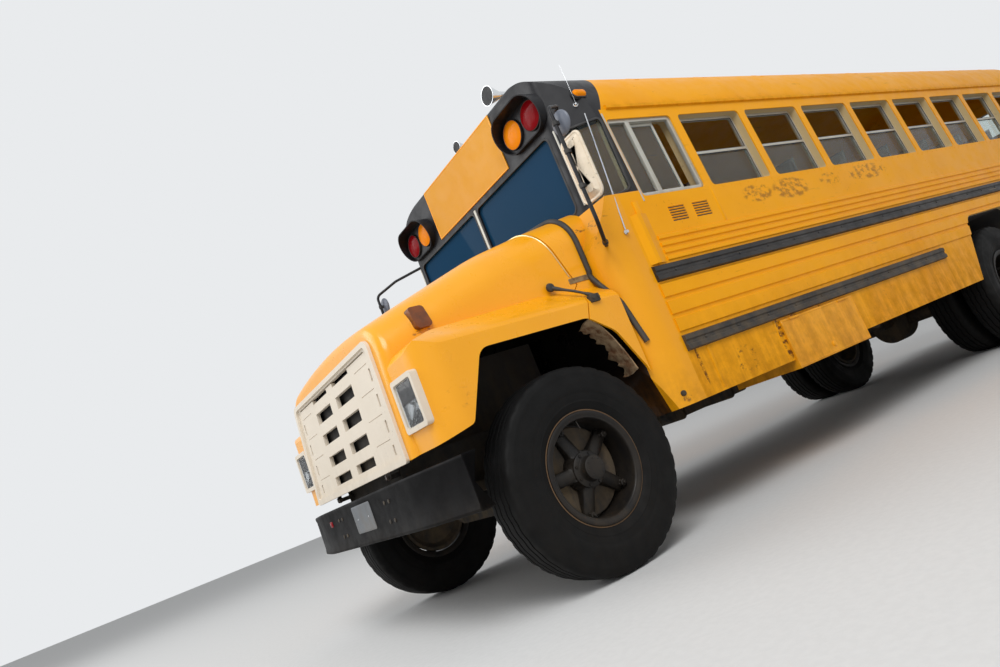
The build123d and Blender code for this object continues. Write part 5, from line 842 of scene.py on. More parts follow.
class SCENE_OT_bus_bumpers(bpy.types.Operator):
    """Bumpers with rolled edges, their bolts, irons and blank plates"""
    bl_idname = "scene.bus_bumpers"
    bl_label = "Bumpers"

    def execute(self, context):
        irons = [block(spot(0.6903, 0.360, 0.665), spot(0.796, 0.425, 0.800), 0.006),
                 block(spot(REAR_FACE - 0.081, 0.360, 0.665), spot(REAR_FACE + 0.0195, 0.425, 0.785), 0.005)]
        rear_path = bend([spot(REAR_FACE - x, y, 0.68) for x, y in
                          ((0.006, 1.146), (0.084, 1.140), (0.084, -1.140), (0.006, -1.146))], 0.05, 7)
        half = [(-0.03, 0.118), (0.0, 0.118), (0.003, 0.112), (0.0, 0.104)]
        inner = [(-0.006, 0.110), (-0.03, 0.112)]
        outline = half + [(x, -z) for x, z in half[::-1]] + [(x, -z) for x, z in inner[::-1]] + inner
        piece("rolled_bumpers", "bumper_black", bumper_shape(), both(irons[0]), carried(rear_path, outline),
              both(irons[1]), hides=["bumpers"])
        heads = []
        for x, heights, way in ((0.8, (0.635, 0.735), FORE), (REAR_FACE - 0.084, (0.64, 0.74), (-1, 0, 0))):
            places = [spot(x, y, z) for y in (-0.425, -0.36, 0.36, 0.425) for z in heights]
            heads.append(studs(places, [way] * len(places), bolt(0.011, 0.0045), 12))
        piece("bumper_bolts", "chassis_black", *heads)
        blanks = [plate(rounded(0.305, 0.155, 0.012),
                        [(0, 0), (0.0, 0.0015), (-0.004, 0.003), (-0.012, 0.0018)], at, *way)
                  for at, way in ((spot(0.801, 0.0, 0.700), FRONT),
                                  (spot(REAR_FACE - 0.0008, 0.72, 1.03), REAR))]
        piece("blank_plates", "blank_plate", *blanks)
        holes = [spot(0.8025, y, 0.70) for y in (-0.089, 0.089)]
        piece("plate_screws", "horn_chrome", studs(holes, [FORE] * 2, bolt(0.005, 0.0024), 10))
        piece("bumper_reflector", "lamp_red",
              plate(rounded(0.05, 0.035, 0.01), [(0, 0), (0, 0.002), (-0.004, 0.004)],
                    spot(0.7998, -0.588, 0.728), *FRONT))
        return {"FINISHED"}


LAMP_Y, LAMP_Z = 0.928, 1.117


def lamp_bowl(side):
    """Headlamp reflector: the lamp's outline drawn in as it goes back, closed behind by an outer shell."""
    rows = [(-0.080, -0.052), (-0.060, -0.048), (-0.036, -0.036), (-0.016, -0.018), (-0.002, -0.004),
            (0.0, -0.002), (0.0, -0.058)]
    return plate(rounded(0.190, 0.212, 0.016, 5), rows, spot(0.744, side * LAMP_Y, LAMP_Z), *FRONT)


def lamp_glass(side):
    """Headlamp glass: a thin pane whose front swells and is fluted, as 0.9 mm x the sine of y."""
    u, v = np.meshgrid(np.linspace(-1, 1, 61), np.linspace(-1, 1, 25), indexing="ij")
    y, z = side * LAMP_Y + u * 0.094, LAMP_Z + v * 0.105
    swell = 0.005 * (1 - np.maximum(np.abs(u), np.abs(v)) ** 4)
    flute = 0.0009 * np.sin(u * 60) * (np.abs(v) < 0.93)
    layers = [np.stack([AXLE_X + x, y, z], axis=-1) for x in (0.740 + swell + flute, 0.7375 + 0 * u)]
    rims = [np.concatenate([g[:, 0], g[-1, 1:], g[-2::-1, -1], g[0, -2:0:-1]]) for g in layers]
    return join([sheet(g) for g in layers] + [grid_shape(np.stack(rims), ends=(False, False))])


def section(tree, station, spread, count):
    """Places round a skin's cross section, from the right flank over the crown to the left one, found by
    rays aimed at a line low in the middle; station gives x from the height."""
    angle = np.radians(np.linspace(-spread, spread, count))
    way = np.stack([np.zeros(count), np.sin(angle), np.cos(angle)], axis=-1)
    x = np.full(count, station(2.2))
    for _ in range(4):
        places = np.array([touch(tree, [(x[i], 0, 1.2) + 2.2 * way[i]], -way[i])[0][0] for i in range(count)])
        x = station(places[:, 2])
    return places


def seam_x(z):
    """Station of the bonnet's rear seam at a height, from the source's own corners."""
    return AXLE_X + np.interp(z, [1.461, 1.732, 1.905, 2.100], [-0.442, -0.365, -0.318, -0.305])


class SCENE_OT_bus_front(bpy.types.Operator):
    """Headlamps, bonnet strip, latches, badge, cowl seal and arch liner"""
    bl_idname = "scene.bus_front"
    bl_label = "Front trim"

    def execute(self, context):
        tilt = {"body": "hood_tilt"}
        piece("lamp_bowls", "lamp_bowl", lamp_bowl(1), lamp_bowl(-1), hides=["headlamps"], **tilt)
        bulb = lathe([(0.0, 0.011), (0.02, 0.012), (0.028, 0.009), (0.031, 0.003)],
                     spot(0.700, LAMP_Y, LAMP_Z), FORE, 16)
        piece("lamp_bulbs", "lamp_clear", both(bulb), **tilt)
        piece("lamp_glasses", "lamp_clear", lamp_glass(1), lamp_glass(-1), **tilt)
        # Black plates just behind each headlamp glass: the upper one darkens the top half of the lamp as
        # painted shade, and a thin bar lies across its middle.
        shade = block(spot(0.7375, 0.836, 1.122), spot(0.7412, 1.020, 1.128), 0.001)
        top = plate(rounded(0.184, 0.094, 0.006), [(0, 0), (0, 0.0008)], spot(0.7365, LAMP_Y, 1.170), *FRONT)
        piece("lamp_shades", "trim_black", both(shade), both(top), **tilt)
        crown = skin_of("hood")
        line = section(crown, lambda z: seam_x(z) + 0.010, 72.0, 81)
        piece("bonnet_strip", "bright_strip", carried(line, oval(0.006, 0.0035), FORE), **tilt)
        self.latches(crown)
        self.seal(context.scene.bus_sizes.hose)
        self.liner()
        self.undercoat()
        # A dark plate just behind the grille, as painted shade of the space behind it.
        rake = math.tan(math.radians(2.284))
        screen = plate(rounded(1.50, 0.58, 0.03), [(-0.002, 0), (0, 0.001), (-0.002, 0.003)],
                       spot(0.722 - 0.325 * rake, 0, 1.19), SIDEWAYS, (-rake, 0, 1))
        piece("grille_screen", "radiator_core", screen, **tilt)
        return {"FINISHED"}

    def undercoat(self):
        """Painted shade inside the bonnet: a near-black copy of its own inward faces, stood a millimetre off
        the metal.
        """
        work = bmesh.new()
        work.from_mesh(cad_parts["hood"].data)
        bmesh.ops.remove_doubles(work, verts=work.verts, dist=1e-5)
        middle = Vector((AXLE_X - 0.1, 0.0, 0.7))
        away = [f for f in work.faces if f.normal.dot((middle - f.calc_center_median()).normalized()) < 0.3]
        bmesh.ops.delete(work, geom=away, context="FACES")
        work.normal_update()
        for vertex in work.verts:
            vertex.co += vertex.normal * 0.0014
        mesh = bpy.data.meshes.new("arch_undercoat")
        work.to_mesh(mesh)
        work.free()
        add("arch_undercoat", mesh, "undercoat", "hood_tilt", 0.0008)

    def latches(self, crown):
        """Rubber pulls from a knob on the bonnet to a bracket on the cowl, and a blank badge."""
        knob_at, knob_n = touch(crown, [spot(-0.26, 1.6, 1.480)], (0, -1, 0))
        foot_at, foot_n = touch(skin_of("truck_cowl", "body_cowl"), [spot(-0.385, 1.6, 1.330)], (0, -1, 0))
        knob = studs(knob_at, knob_n, [(0, 0.012), (0.012, 0.011), (0.016, 0.022), (0.026, 0.026),
                                       (0.036, 0.022), (0.040, 0.010)], 20)
        piece("latch_knobs", "seal_rubber", both(knob), body="hood_tilt")
        a, b, foot = knob_at[0] + knob_n[0] * 0.020, foot_at[0] + foot_n[0] * 0.018, foot_at[0]
        path = eased([a, a * 0.66 + b * 0.34 + (0, 0.010, 0), a * 0.33 + b * 0.67 + (0, 0.010, 0.002), b], 24)
        radius = np.interp(np.linspace(0, 1, 24), [0, 0.12, 0.3, 0.75, 0.9, 1.0],
                           [0.014, 0.013, 0.008, 0.0075, 0.013, 0.013])
        base = block(foot + (-0.030, -0.012, -0.022), foot + (0.034, 0.026, 0.022), 0.005)
        bolts = studs([foot + (x, 0.026, 0.0) for x in (-0.018, 0.022)], [SIDEWAYS] * 2, bolt(0.008, 0.006))
        piece("latch_straps", "seal_rubber", both(tube(path, radius, 10), base, bolts))
        badge_at, badge_n = touch(skin_of("truck_cowl"), [spot(-0.47, 1.6, 1.488)], (0, -1, 0))
        badge = plate(rounded(0.135, 0.032, 0.006),
                      [(0.0, -0.003), (0, 0.002), (-0.002, 0.004), (-0.004, 0.004), (-0.006, 0.003)],
                      badge_at[0], *facing(badge_n[0]))
        piece("blank_badges", "badge_grey", both(badge))

    def seal(self, radius):
        """Rubber seal in the corner between the truck cowl and the coach body, and down its flanks."""
        middle = AXLE_X - 0.549
        upper = section(skin_of("truck_cowl"), lambda z: middle + 0 * z, 75.0, 61)
        starts = [spot(x, 1.6, z) for x, z in ((-0.575, 1.300), (-0.585, 1.220), (-0.595, 1.120),
                                               (-0.607, 1.020))]
        lower, _ = touch(skin_of("truck_cowl", "body_cowl"), starts, (0, -1, 0))
        upper = upper + unit(upper - (middle, 0, 1.2)) * radius * 0.5
        lower = lower + (0, radius * 0.4, 0)
        line = eased(np.concatenate([lower[::-1] * (1, -1, 1), upper, lower]), 260)
        piece("cowl_seal", "seal_rubber", tube(line, radius, 12, FORE))

    def liner(self):
        """Torn liner at the back of the wheel arch: a sheet whose lower edge is ragged as a sum of sines."""
        u, v = np.meshgrid(np.linspace(0, 1, 44), np.linspace(0, 1, 16), indexing="ij")
        ragged = 0.03 * np.sin(u * 21) + 0.022 * np.sin(u * 47 + 1) + 0.015 * np.sin(u * 83 + 2)
        path = eased([spot(x, 0, z) for x, z in ((-0.318, 1.235), (-0.375, 1.185), (-0.430, 1.10),
                                                 (-0.475, 1.00), (-0.510, 0.90))], 44)
        lift = 0.008 * np.sin(u * 34 + v * 5) * v - 0.02 * v
        inward = 1.098 - v * (0.13 + ragged * 0.5)
        points = np.stack([path[:, :1] + lift, inward, path[:, 2:] + lift], axis=-1)
        piece("torn_liners", "torn_liner", both(sheet(points)), wall=0.003)


# Windscreen, windows and doors


SILL_Z, HEAD_Z, RAIL_Z = LEAN_FROM, 2.365, 2.0975
BAY_PITCH, BAY_LONG, FIRST_BAY, FIRST_POST = 0.7176, 0.6426, -1.650, -1.6125
FRONT_FACE, CORNER_FOOT = -0.700, (-0.700, 1.010)
CORNER_U, CORNER_N = np.array([-0.834, 0.551, 0.0]), np.array([0.551, 0.834, 0.0])


def gasket(outline, at, across, up, wide, lift, profile=None):
    """Bead or sash round an opening: an oval, or a given profile, carried along the opening's outline."""
    path = np.asarray(at, float) + outline[:, :1] * unit(across) + outline[:, 1:] * unit(up)
    return carried(path, oval(wide, lift) if profile is None else profile, np.cross(across, up), ring=True)


def wall_place(x, z, out=0.0):
    """Point on the left window plane, which leans inward above the sill."""
    return spot(x, HALF - 0.012 - (z - SILL_Z) * LEAN + out, z)


def opening_bead(x0, x1, z0, z1, radius, wide, lift, out=0.0, profile=None):
    """Bead round a window opening of the left side."""
    return gasket(rounded(x1 - x0, z1 - z0, radius, 3), wall_place((x0 + x1) / 2, (z0 + z1) / 2, out),
                  (-1, 0, 0), (0, -LEAN, 1), wide, lift, profile)


def upright(foot, low, high, count, profile, upward):
    """Strip that stands on a foot, from one height to another."""
    return carried([(foot[0], foot[1], z) for z in np.linspace(low, high, count)], profile, upward)


class SCENE_OT_bus_windscreen(bpy.types.Operator):
    """Windscreen panes, gaskets, pillar strips and wipers"""
    bl_idname = "scene.bus_windscreen"
    bl_label = "Windscreen"

    def execute(self, context):
        wide = context.scene.bus_sizes.gasket
        low, high, inner, outer, corner_high = 1.898, 2.405, 0.022, 0.955, 2.380
        y, z, across, tall = (inner + outer) / 2, (low + high) / 2, outer - inner, high - low
        front = gasket(rounded(across, tall, 0.045, 6), spot(FRONT_FACE, y, z), *FRONT, wide, wide * 0.6)
        corner_long = 0.3356 - 0.095
        corner_mid = spot(*CORNER_FOOT, (low + corner_high) / 2) + CORNER_U * (0.060 + corner_long / 2)
        corner = gasket(rounded(corner_long, corner_high - low, 0.03, 5), corner_mid, -CORNER_U, UPWARD, wide,
                        wide * 0.6)
        piece("windscreen_gaskets", "seal_rubber", both(front), both(corner))
        pane = plate(rounded(across - 0.004, tall - 0.004, 0.043, 6),
                     [(-0.001, -0.005), (0, -0.004), (0, 0), (-0.001, 0.001)],
                     spot(FRONT_FACE - 0.0185, y, z), *FRONT)
        piece("windscreen_panes", "screen_glass", both(pane))
        bar = plate(rounded(0.026, tall + 0.01, 0.006), [(0, -0.004), (0, 0.003), (-0.005, 0.006)],
                    spot(FRONT_FACE, 0.0, z), *FRONT)
        trims = [upright(spot(*CORNER_FOOT, 0.0) + CORNER_U * start + CORNER_N * 0.0005, 1.905, 2.400, 6,
                         oval(0.006, 0.005), CORNER_N) for start in (0.012, 0.036)]
        rear_edge = [spot(-0.988, HALF - 0.0015 - max(0.0, z - SILL_Z) * LEAN, z)
                     for z in np.linspace(1.80, 2.405, 8)]
        trims.append(carried(rear_edge, oval(0.007, 0.006), SIDEWAYS))
        piece("pillar_strips", "window_alloy", bar, *map(both, trims))
        self.wipers()
        return {"FINISHED"}

    def wipers(self):
        """Two wipers: a bossed arm from its spindle and a sprung blade across the glass."""
        shapes, rubbers, x = [], [], FRONT_FACE + 0.012
        for pivot, tip, first, last in (((0.470, 1.872), (0.270, 1.984), (0.049, 1.996), (0.514, 1.949)),
                                        ((-0.440, 1.872), (-0.300, 2.02), (-0.455, 2.000), (-0.080, 2.115))):
            a, b = spot(x, *pivot), spot(x + 0.006, *tip)
            taper = np.interp(np.linspace(0, 1, 16), [0, 0.3, 1], [1.7, 1.1, 0.7])
            arm = carried(eased([a, a * 0.6 + b * 0.4 + (0.010, 0, 0), b], 16),
                          rounded(0.011, 0.006, 0.002, 2), FORE, taper)
            boss = lathe([(-0.014, 0.015), (0.006, 0.015), (0.012, 0.011), (0.014, 0.005)], a, FORE, 18)
            s = np.linspace(0, 1, 18)[:, None]
            line = spot(x + 0.001, *first) * (1 - s) + spot(x + 0.001, *last) * s
            bow = line + (0.010, 0, 0) * (4 * s * (1 - s)) ** 0.7
            shapes += [arm, boss, carried(bow, rounded(0.009, 0.004, 0.0015, 2), FORE)]
            rubbers.append(carried(line - (0.010, 0, 0), rounded(0.006, 0.012, 0.002, 2), FORE))
        piece("wiper_arms", "dash_plastic", *shapes)
        piece("wiper_blades", "seal_rubber", *rubbers)


class SCENE_OT_bus_windows(bpy.types.Operator):
    """Sashes, rubbers, catches, panes and the driver's sliding pane"""
    bl_idname = "scene.bus_windows"
    bl_label = "Side windows"

    def execute(self, context):
        bead = context.scene.bus_sizes.gasket * 0.35
        deep, slide, flat = -0.058, -0.038, [(-0.001, -0.0025), (0, -0.0015), (0, 0.0015), (-0.001, 0.0025)]
        frame_low, frame_high, slim = SILL_Z + 0.0138, HEAD_Z - 0.0113, rounded(0.022, 0.020, 0.003, 2)

        def pane(x0, x1, z0, z1, out):
            """Thin pane that leans with the wall."""
            return plate(rounded(x1 - x0, z1 - z0, 0.0097, 3), flat,
                         wall_place((x0 + x1) / 2, (z0 + z1) / 2, out), (-1, 0, 0), (0, -LEAN, 1))

        alloy, rubber, catches, panes = [], [], [], []
        for n in range(8):
            x1 = FIRST_BAY - BAY_PITCH * n
            x0 = x1 - BAY_LONG
            ends = [wall_place(x, RAIL_Z, deep) for x in (x0 + 0.015, x1 - 0.015)]
            alloy += [opening_bead(x0 + 0.0113, x1 - 0.0113, frame_low, frame_high, 0.019, 0, 0, deep, slim),
                      carried(ends, slim, SIDEWAYS)]
            halves = ((SILL_Z + 0.024, RAIL_Z - 0.011), (RAIL_Z + 0.011, HEAD_Z - 0.022))
            panes.append(pane(x0 + 0.022, x1 - 0.022, *halves[0], deep))
            rubber += [opening_bead(x0 + 0.022, x1 - 0.022, *half, 0.010, bead, bead, deep + 0.008)
                       for half in halves]
            for x in (x0 + 0.10, x1 - 0.10):
                place = wall_place(x, RAIL_Z, deep - 0.012)
                catches.append(block(place + (-0.020, -0.012, -0.009), place + (0.020, 0.002, 0.009)))
        stiles = [[wall_place(x, z, out) for z in np.linspace(SILL_Z + 0.016, HEAD_Z - 0.016, 5)]
                  for x, out in ((-1.18, -0.015), (-1.225, slide), (-1.425, slide))]
        rails = [[wall_place(x, z, slide) for x in (-1.425, -1.225)]
                 for z in (SILL_Z + 0.030, HEAD_Z - 0.030)]
        thin = rounded(0.022, 0.014, 0.003, 2)
        driver = [opening_bead(-1.5637, -1.0113, frame_low, frame_high, 0.019, 0, 0, -0.015,
                               rounded(0.022, 0.028, 0.003, 2)),
                  carried(stiles[0], rounded(0.038, 0.026, 0.003, 2), SIDEWAYS)]
        driver += [carried(line, thin, SIDEWAYS) for line in stiles[1:] + rails]
        piece("side_sashes", "window_alloy", both(*alloy), *driver, hides=["window_frames"])
        piece("sash_rubbers", "seal_rubber", both(*rubber))
        piece("sash_catches", "dash_plastic", both(*catches))
        rear_at = (REAR_X + 0.021, 0.775, 2.085)
        panes += [plate(rounded(0.3694, 0.5094, 0.0297, 4), flat, rear_at, *REAR),
                  plate(rounded(0.240, 0.4814, 0.0297, 5), flat,
                        spot(*CORNER_FOOT, 2.139) + CORNER_U * 0.1803 - CORNER_N * 0.023, -CORNER_U, UPWARD)]
        piece("side_panes", "glass_clear", both(*panes),
              pane(-1.414, -1.236, SILL_Z + 0.04, HEAD_Z - 0.04, slide),
              pane(-1.161, -1.0223, SILL_Z + 0.0245, HEAD_Z - 0.0223, -0.024), hides=["glazing"])
        piece("rear_gaskets", "seal_rubber",
              both(gasket(rounded(0.372, 0.512, 0.03, 4), (REAR_X - 0.001, 0.775, 2.085), *REAR,
                          0.009, 0.006)))
        return {"FINISHED"}


class SCENE_OT_bus_doors(bpy.types.Operator):
    """Entrance leaf beads and edges, grab rail, and the emergency door's seals and handles"""
    bl_idname = "scene.bus_doors"
    bl_label = "Doors"

    def execute(self, context):
        for node, body, inset in (("door_front_leaf", "door_leaf_front", 0.006),
                                  ("door_rear_leaf", "door_leaf_rear", 0.008)):
            low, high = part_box(node)
            x0, x1 = low.x + 0.040, min(high.x, low.x + 0.272) - 0.040
            beads = [gasket(rounded(x1 - x0, z1 - z0, 0.025, 4), ((x0 + x1) / 2, -1.1855, (z0 + z1) / 2),
                            FORE, UPWARD, 0.007, 0.004) for z0, z1 in ((0.52, 1.15), (1.24, 2.29))]
            piece(f"{node}_beads", "seal_rubber", *beads, body=body)
            edge = upright((low.x + inset, -1.1865), 0.44, 2.36, 8, oval(0.005, 0.0045), SIDEWAYS)
            piece(f"{node}_edge", "seal_rubber", edge, body=body)
        rail = [spot(-1.02, y, z) for y, z in ((-1.02, 1.30), (-0.95, 1.30), (-0.92, 1.62), (-1.02, 1.66))]
        piece("step_grab_rail", "horn_chrome", tube(bend(rail, 0.04), 0.014, 12, FORE))
        seals = [gasket(rounded(wide, tall, radius, steps), (REAR_X - 0.001, 0.0, z), *REAR, bead, 0.005)
                 for wide, tall, radius, steps, z, bead in ((0.952, 1.340, 0.02, 4, 1.6775, 0.007),
                                                            (0.740, 0.41, 0.04, 5, 1.355, 0.008),
                                                            (0.740, 0.56, 0.04, 5, 1.98, 0.008))]
        piece("exit_door_seals", "seal_rubber", *seals, body="exit_door")
        lever = [(REAR_X + x, y, z) for x, y, z in ((0.052, 0.405, 1.66), (0.075, 0.405, 1.66),
                                                    (0.080, 0.405, 1.46), (0.080, 0.30, 1.44))]
        pull = [(REAR_X + x, y, 1.095) for x, y in ((-0.001, -0.10), (-0.030, -0.10), (-0.030, 0.10),
                                                    (-0.001, 0.10))]
        piece("exit_door_handles", "horn_chrome", tube(bend(lever, 0.02), 0.008, 10, SIDEWAYS),
              tube(bend(pull, 0.015), 0.007, 10), body="exit_door")
        return {"FINISHED"}


# Coach body


class SCENE_OT_bus_body(bpy.types.Operator):
    """Rivets, louvres, roof bows, seams, lamps, sign rims, aerial and horns' rod"""
    bl_idname = "scene.bus_body"
    bl_label = "Coach body"

    def execute(self, context):
        sizes = context.scene.bus_sizes
        self.rivets(sizes.rivet)
        self.louvres()
        self.roof(sizes.whip)
        self.lamps()
        self.plates()
        return {"FINISHED"}

    def rivets(self, radius):
        """Domed rivets laid on the side walls and rails where straight rays meet them."""
        arch_middle, arch_half = -5.105, 0.72
        rows = []
        for n in range(9):
            x = FIRST_POST - BAY_PITCH * n
            for z in (0.66, 0.75, 0.84, 1.014, 1.06, 1.118, 1.164, 1.222, 1.268, 1.62, 1.68, 1.74, 1.80):
                if abs(x - arch_middle) > arch_half or z > 1.2:
                    rows.append((x - 0.012, z))
        rows += [(x, 1.812) for x in np.arange(-7.30, -1.70, 0.0897)]
        rows += [(x, 0.640) for x in np.arange(-7.30, -1.70, 0.1435) if abs(x - arch_middle) > arch_half]
        rails = [(x, z) for z in (1.3555, 0.937) for x in np.arange(-7.28, -0.95, 0.30)
                 if z > 1.2 or x > -3.95 or x < -5.80]
        head = [(-0.001, radius), (0.0008, radius), (0.0022, radius * 0.7), (0.0028, radius * 0.3)]
        dome = [(-0.001, 0.008), (0.001, 0.008), (0.004, 0.0055), (0.005, 0.002)]

        def laid(node, side, places, limit, shape, sides):
            """Heads on one side's skin, behind a limit."""
            starts = [spot(x, side * 1.5, z) for x, z in places if x < limit]
            return studs(*touch(skin_of(node), starts, (0, -side, 0)), shape, sides)

        piece("wall_rivets", "wall_yellow", laid("side_wall_left", 1, rows, 0, head, 6),
              laid("side_wall_right", -1, rows, -1.7, head, 6))
        piece("rail_rivets", "rail_black", laid("rub_rails", 1, rails, 0, dome, 8),
              laid("rub_rails", -1, rails, -1.66, dome, 8))

    def louvres(self):
        """Two groups of pressed louvres over dark slots, on the left behind the windscreen."""
        slats, slots = [], []
        for x0, x1 in ((-1.305, -1.145), (-1.530, -1.365)):
            long = x1 - x0 - 0.012
            for n in range(6):
                at = spot((x0 + x1) / 2, HALF - 0.001, 1.652 + n * 0.0168)
                slats.append(plate(rounded(long, 0.0095, 0.0045, 3),
                                   [(0, -0.002), (0, 0.001), (-0.0015, 0.004), (-0.0035, 0.0055)],
                                   at + (0, 0, 0.003), *LEFT))
                slots.append(plate(rounded(long - 0.008, 0.006, 0.0025, 2), [(0, -0.001), (0, 0.0014)],
                                   at - (0, 0, 0.0052), *LEFT))
        piece("side_louvres", "wall_yellow", *slats)
        piece("louvre_slots", "rail_black", *slots)

    def roof(self, whip_long):
        """Roof bows with rivets, and the aerial."""
        skin, bows, places, normals = skin_of("roof"), [], [], []
        for n in range(9):
            x = AXLE_X + FIRST_POST - BAY_PITCH * n
            line, away = touch(skin, [(x, y, 3.4) for y in np.linspace(-1.03, 1.03, 33)], (0, 0, -1))
            bows.append(carried(line, rounded(0.044, 0.004, 0.0015, 1)))
            places.append(line[::2] + away[::2] * 0.0015 + (0.013, 0, 0))
            normals.append(away[::2])
        piece("roof_bows", "roof_yellow", *bows)
        piece("roof_rivets", "roof_yellow", studs(np.concatenate(places), np.concatenate(normals),
                                                  [(0, 0.0055), (0.0015, 0.005), (0.0026, 0.002)], 6))
        base, normal = touch(skin_of("front_cap"), [spot(-0.866, 1.6, 2.505)], (0, -1, 0))
        foot = studs(base, normal, [(-0.002, 0.016), (0.006, 0.016), (0.012, 0.009), (0.020, 0.006)], 14)
        root = base[0] + normal[0] * 0.018
        tip = root + (0.01, 0.012, whip_long)
        whip = tube(eased([root, root * 0.5 + tip * 0.5 + (0, 0.003, 0), tip], 14),
                    np.linspace(0.0018, 0.0009, 14), 6, FORE)
        piece("aerial", "horn_chrome", foot, whip)

    def lamps(self):
        """Domed ribbed lenses, their rubber rings and clearance lamps."""
        red, amber, rings = [], [], []
        ends = [(FRONT_FACE, 1, 2.574, 0.923, 0.709, 0.0123, 0.095, 0.033),
                (REAR_FACE, -1, 2.600, 0.885, 0.671, 0.0123, 0.095, 0.033),
                (REAR_FACE, -1, 1.230, 0.850, 0.640, 0.0004, 0.090, 0.025)]
        for x, out, z, y_red, y_amber, base, radius, deep in ends:
            dome = [(deep * (0.45 + 0.50 * (1 - t ** 2)) + 0.0007 * math.cos(t * 60), (radius - 0.007) * t)
                    for t in np.linspace(1, 0.02, 22)]
            rows = [(0, radius - 0.003), (deep * 0.4, radius - 0.003), (deep * 0.47, radius - 0.006)] + dome
            ring = [(0.001, radius - 0.004), (0.001, radius), (deep * 0.45, radius),
                    (deep * 0.52, radius - 0.003), (deep * 0.45, radius - 0.0055)]
            for y, lenses in ((y_red, red), (y_amber, amber)):
                at = spot(x + out * base, y, z)
                lenses.append(both(lathe(rows, at, (out, 0, 0), 36)))
                rings.append(both(lathe(ring, at, (out, 0, 0), 36, ring=True)))
        piece("red_lenses", "lamp_red", *red, hides=["red_lamps"])
        piece("amber_lenses", "lamp_amber", *amber, hides=["amber_lamps"])
        piece("lens_rings", "seal_rubber", *rings)
        base, normal = touch(skin_of("front_cap"), [spot(-0.909, 1.6, 2.566)], (0, -1, 0))
        way = facing(normal[0])
        lamp = plate(rounded(0.095, 0.050, 0.022),
                     [(0.002, -0.01), (0.002, 0.006), (-0.003, 0.018), (-0.012, 0.024)], base[0], *way)
        foot = plate(rounded(0.112, 0.066, 0.026), [(0, -0.012), (0, 0.003), (-0.004, 0.006)], base[0], *way)
        piece("clearance_lamps", "lamp_amber", both(lamp))
        piece("clearance_feet", "seal_rubber", both(foot))

    def plates(self):
        """Sign rims, seam strips, a lamp over the rear plate, a brace and mouths for the roof horns."""
        front = gasket(rounded(1.05, 0.39, 0.012, 3), spot(FRONT_FACE + 0.0062, 0, 2.64), *FRONT,
                       0.005, 0.003)
        rear = gasket(rounded(0.93, 0.26, 0.012, 3), (REAR_X - 0.0063, 0, 2.595), *REAR, 0.005, 0.003)
        piece("sign_rims", "body_yellow", front, rear)
        seams = [block(spot(x0, HALF - 0.002, z0), spot(x1, HALF + out, z1), ease)
                 for x0, x1, z0, z1, out, ease in ((-1.632, -1.604, 0.63, 0.888, 0.002, 0.0012),
                                                   (-0.925, -0.880, 1.400, 1.805, 0.006, 0.002),
                                                   (-0.985, -0.962, 0.64, 0.888, 0.003, 0.0012),
                                                   (-1.632, -1.604, 1.585, 1.822, 0.002, 0.0012))]
        piece("wall_seams", "wall_yellow", *seams)
        brace = [spot(x, y, z) for x, y, z in ((-1.105, 0.392, 3.052), (-1.055, 0.30, 3.056),
                                               (-1.055, -0.20, 3.056), (-1.105, -0.264, 3.052))]
        piece("horn_brace", "horn_chrome", tube(bend(brace, 0.05), 0.006, 8))
        mouths = [lathe([(-0.001, r * 0.94), (0.0008, r * 0.94), (0.0012, r * 0.6), (0.0008, r * 0.1)],
                        spot(x, y, 3.07), FORE, 28)
                  for x, y, r in ((-0.876, 0.40, 0.070), (-0.9672, -0.27, 0.049))]
        piece("horn_mouths", "dash_plastic", *mouths)
        fitting = studs([spot(-0.664, 1.181, 0.690)], [(0.45, 0.89, 0)],
                        [(-0.01, 0.016), (0.004, 0.016), (0.010, 0.010)], 12)
        piece("skirt_fitting", "chassis_black", fitting)
        lamp = block((REAR_X - 0.034, 0.66, 1.115), (REAR_X - 0.001, 0.78, 1.143), 0.008)
        piece("plate_lamp", "dash_plastic", lamp)


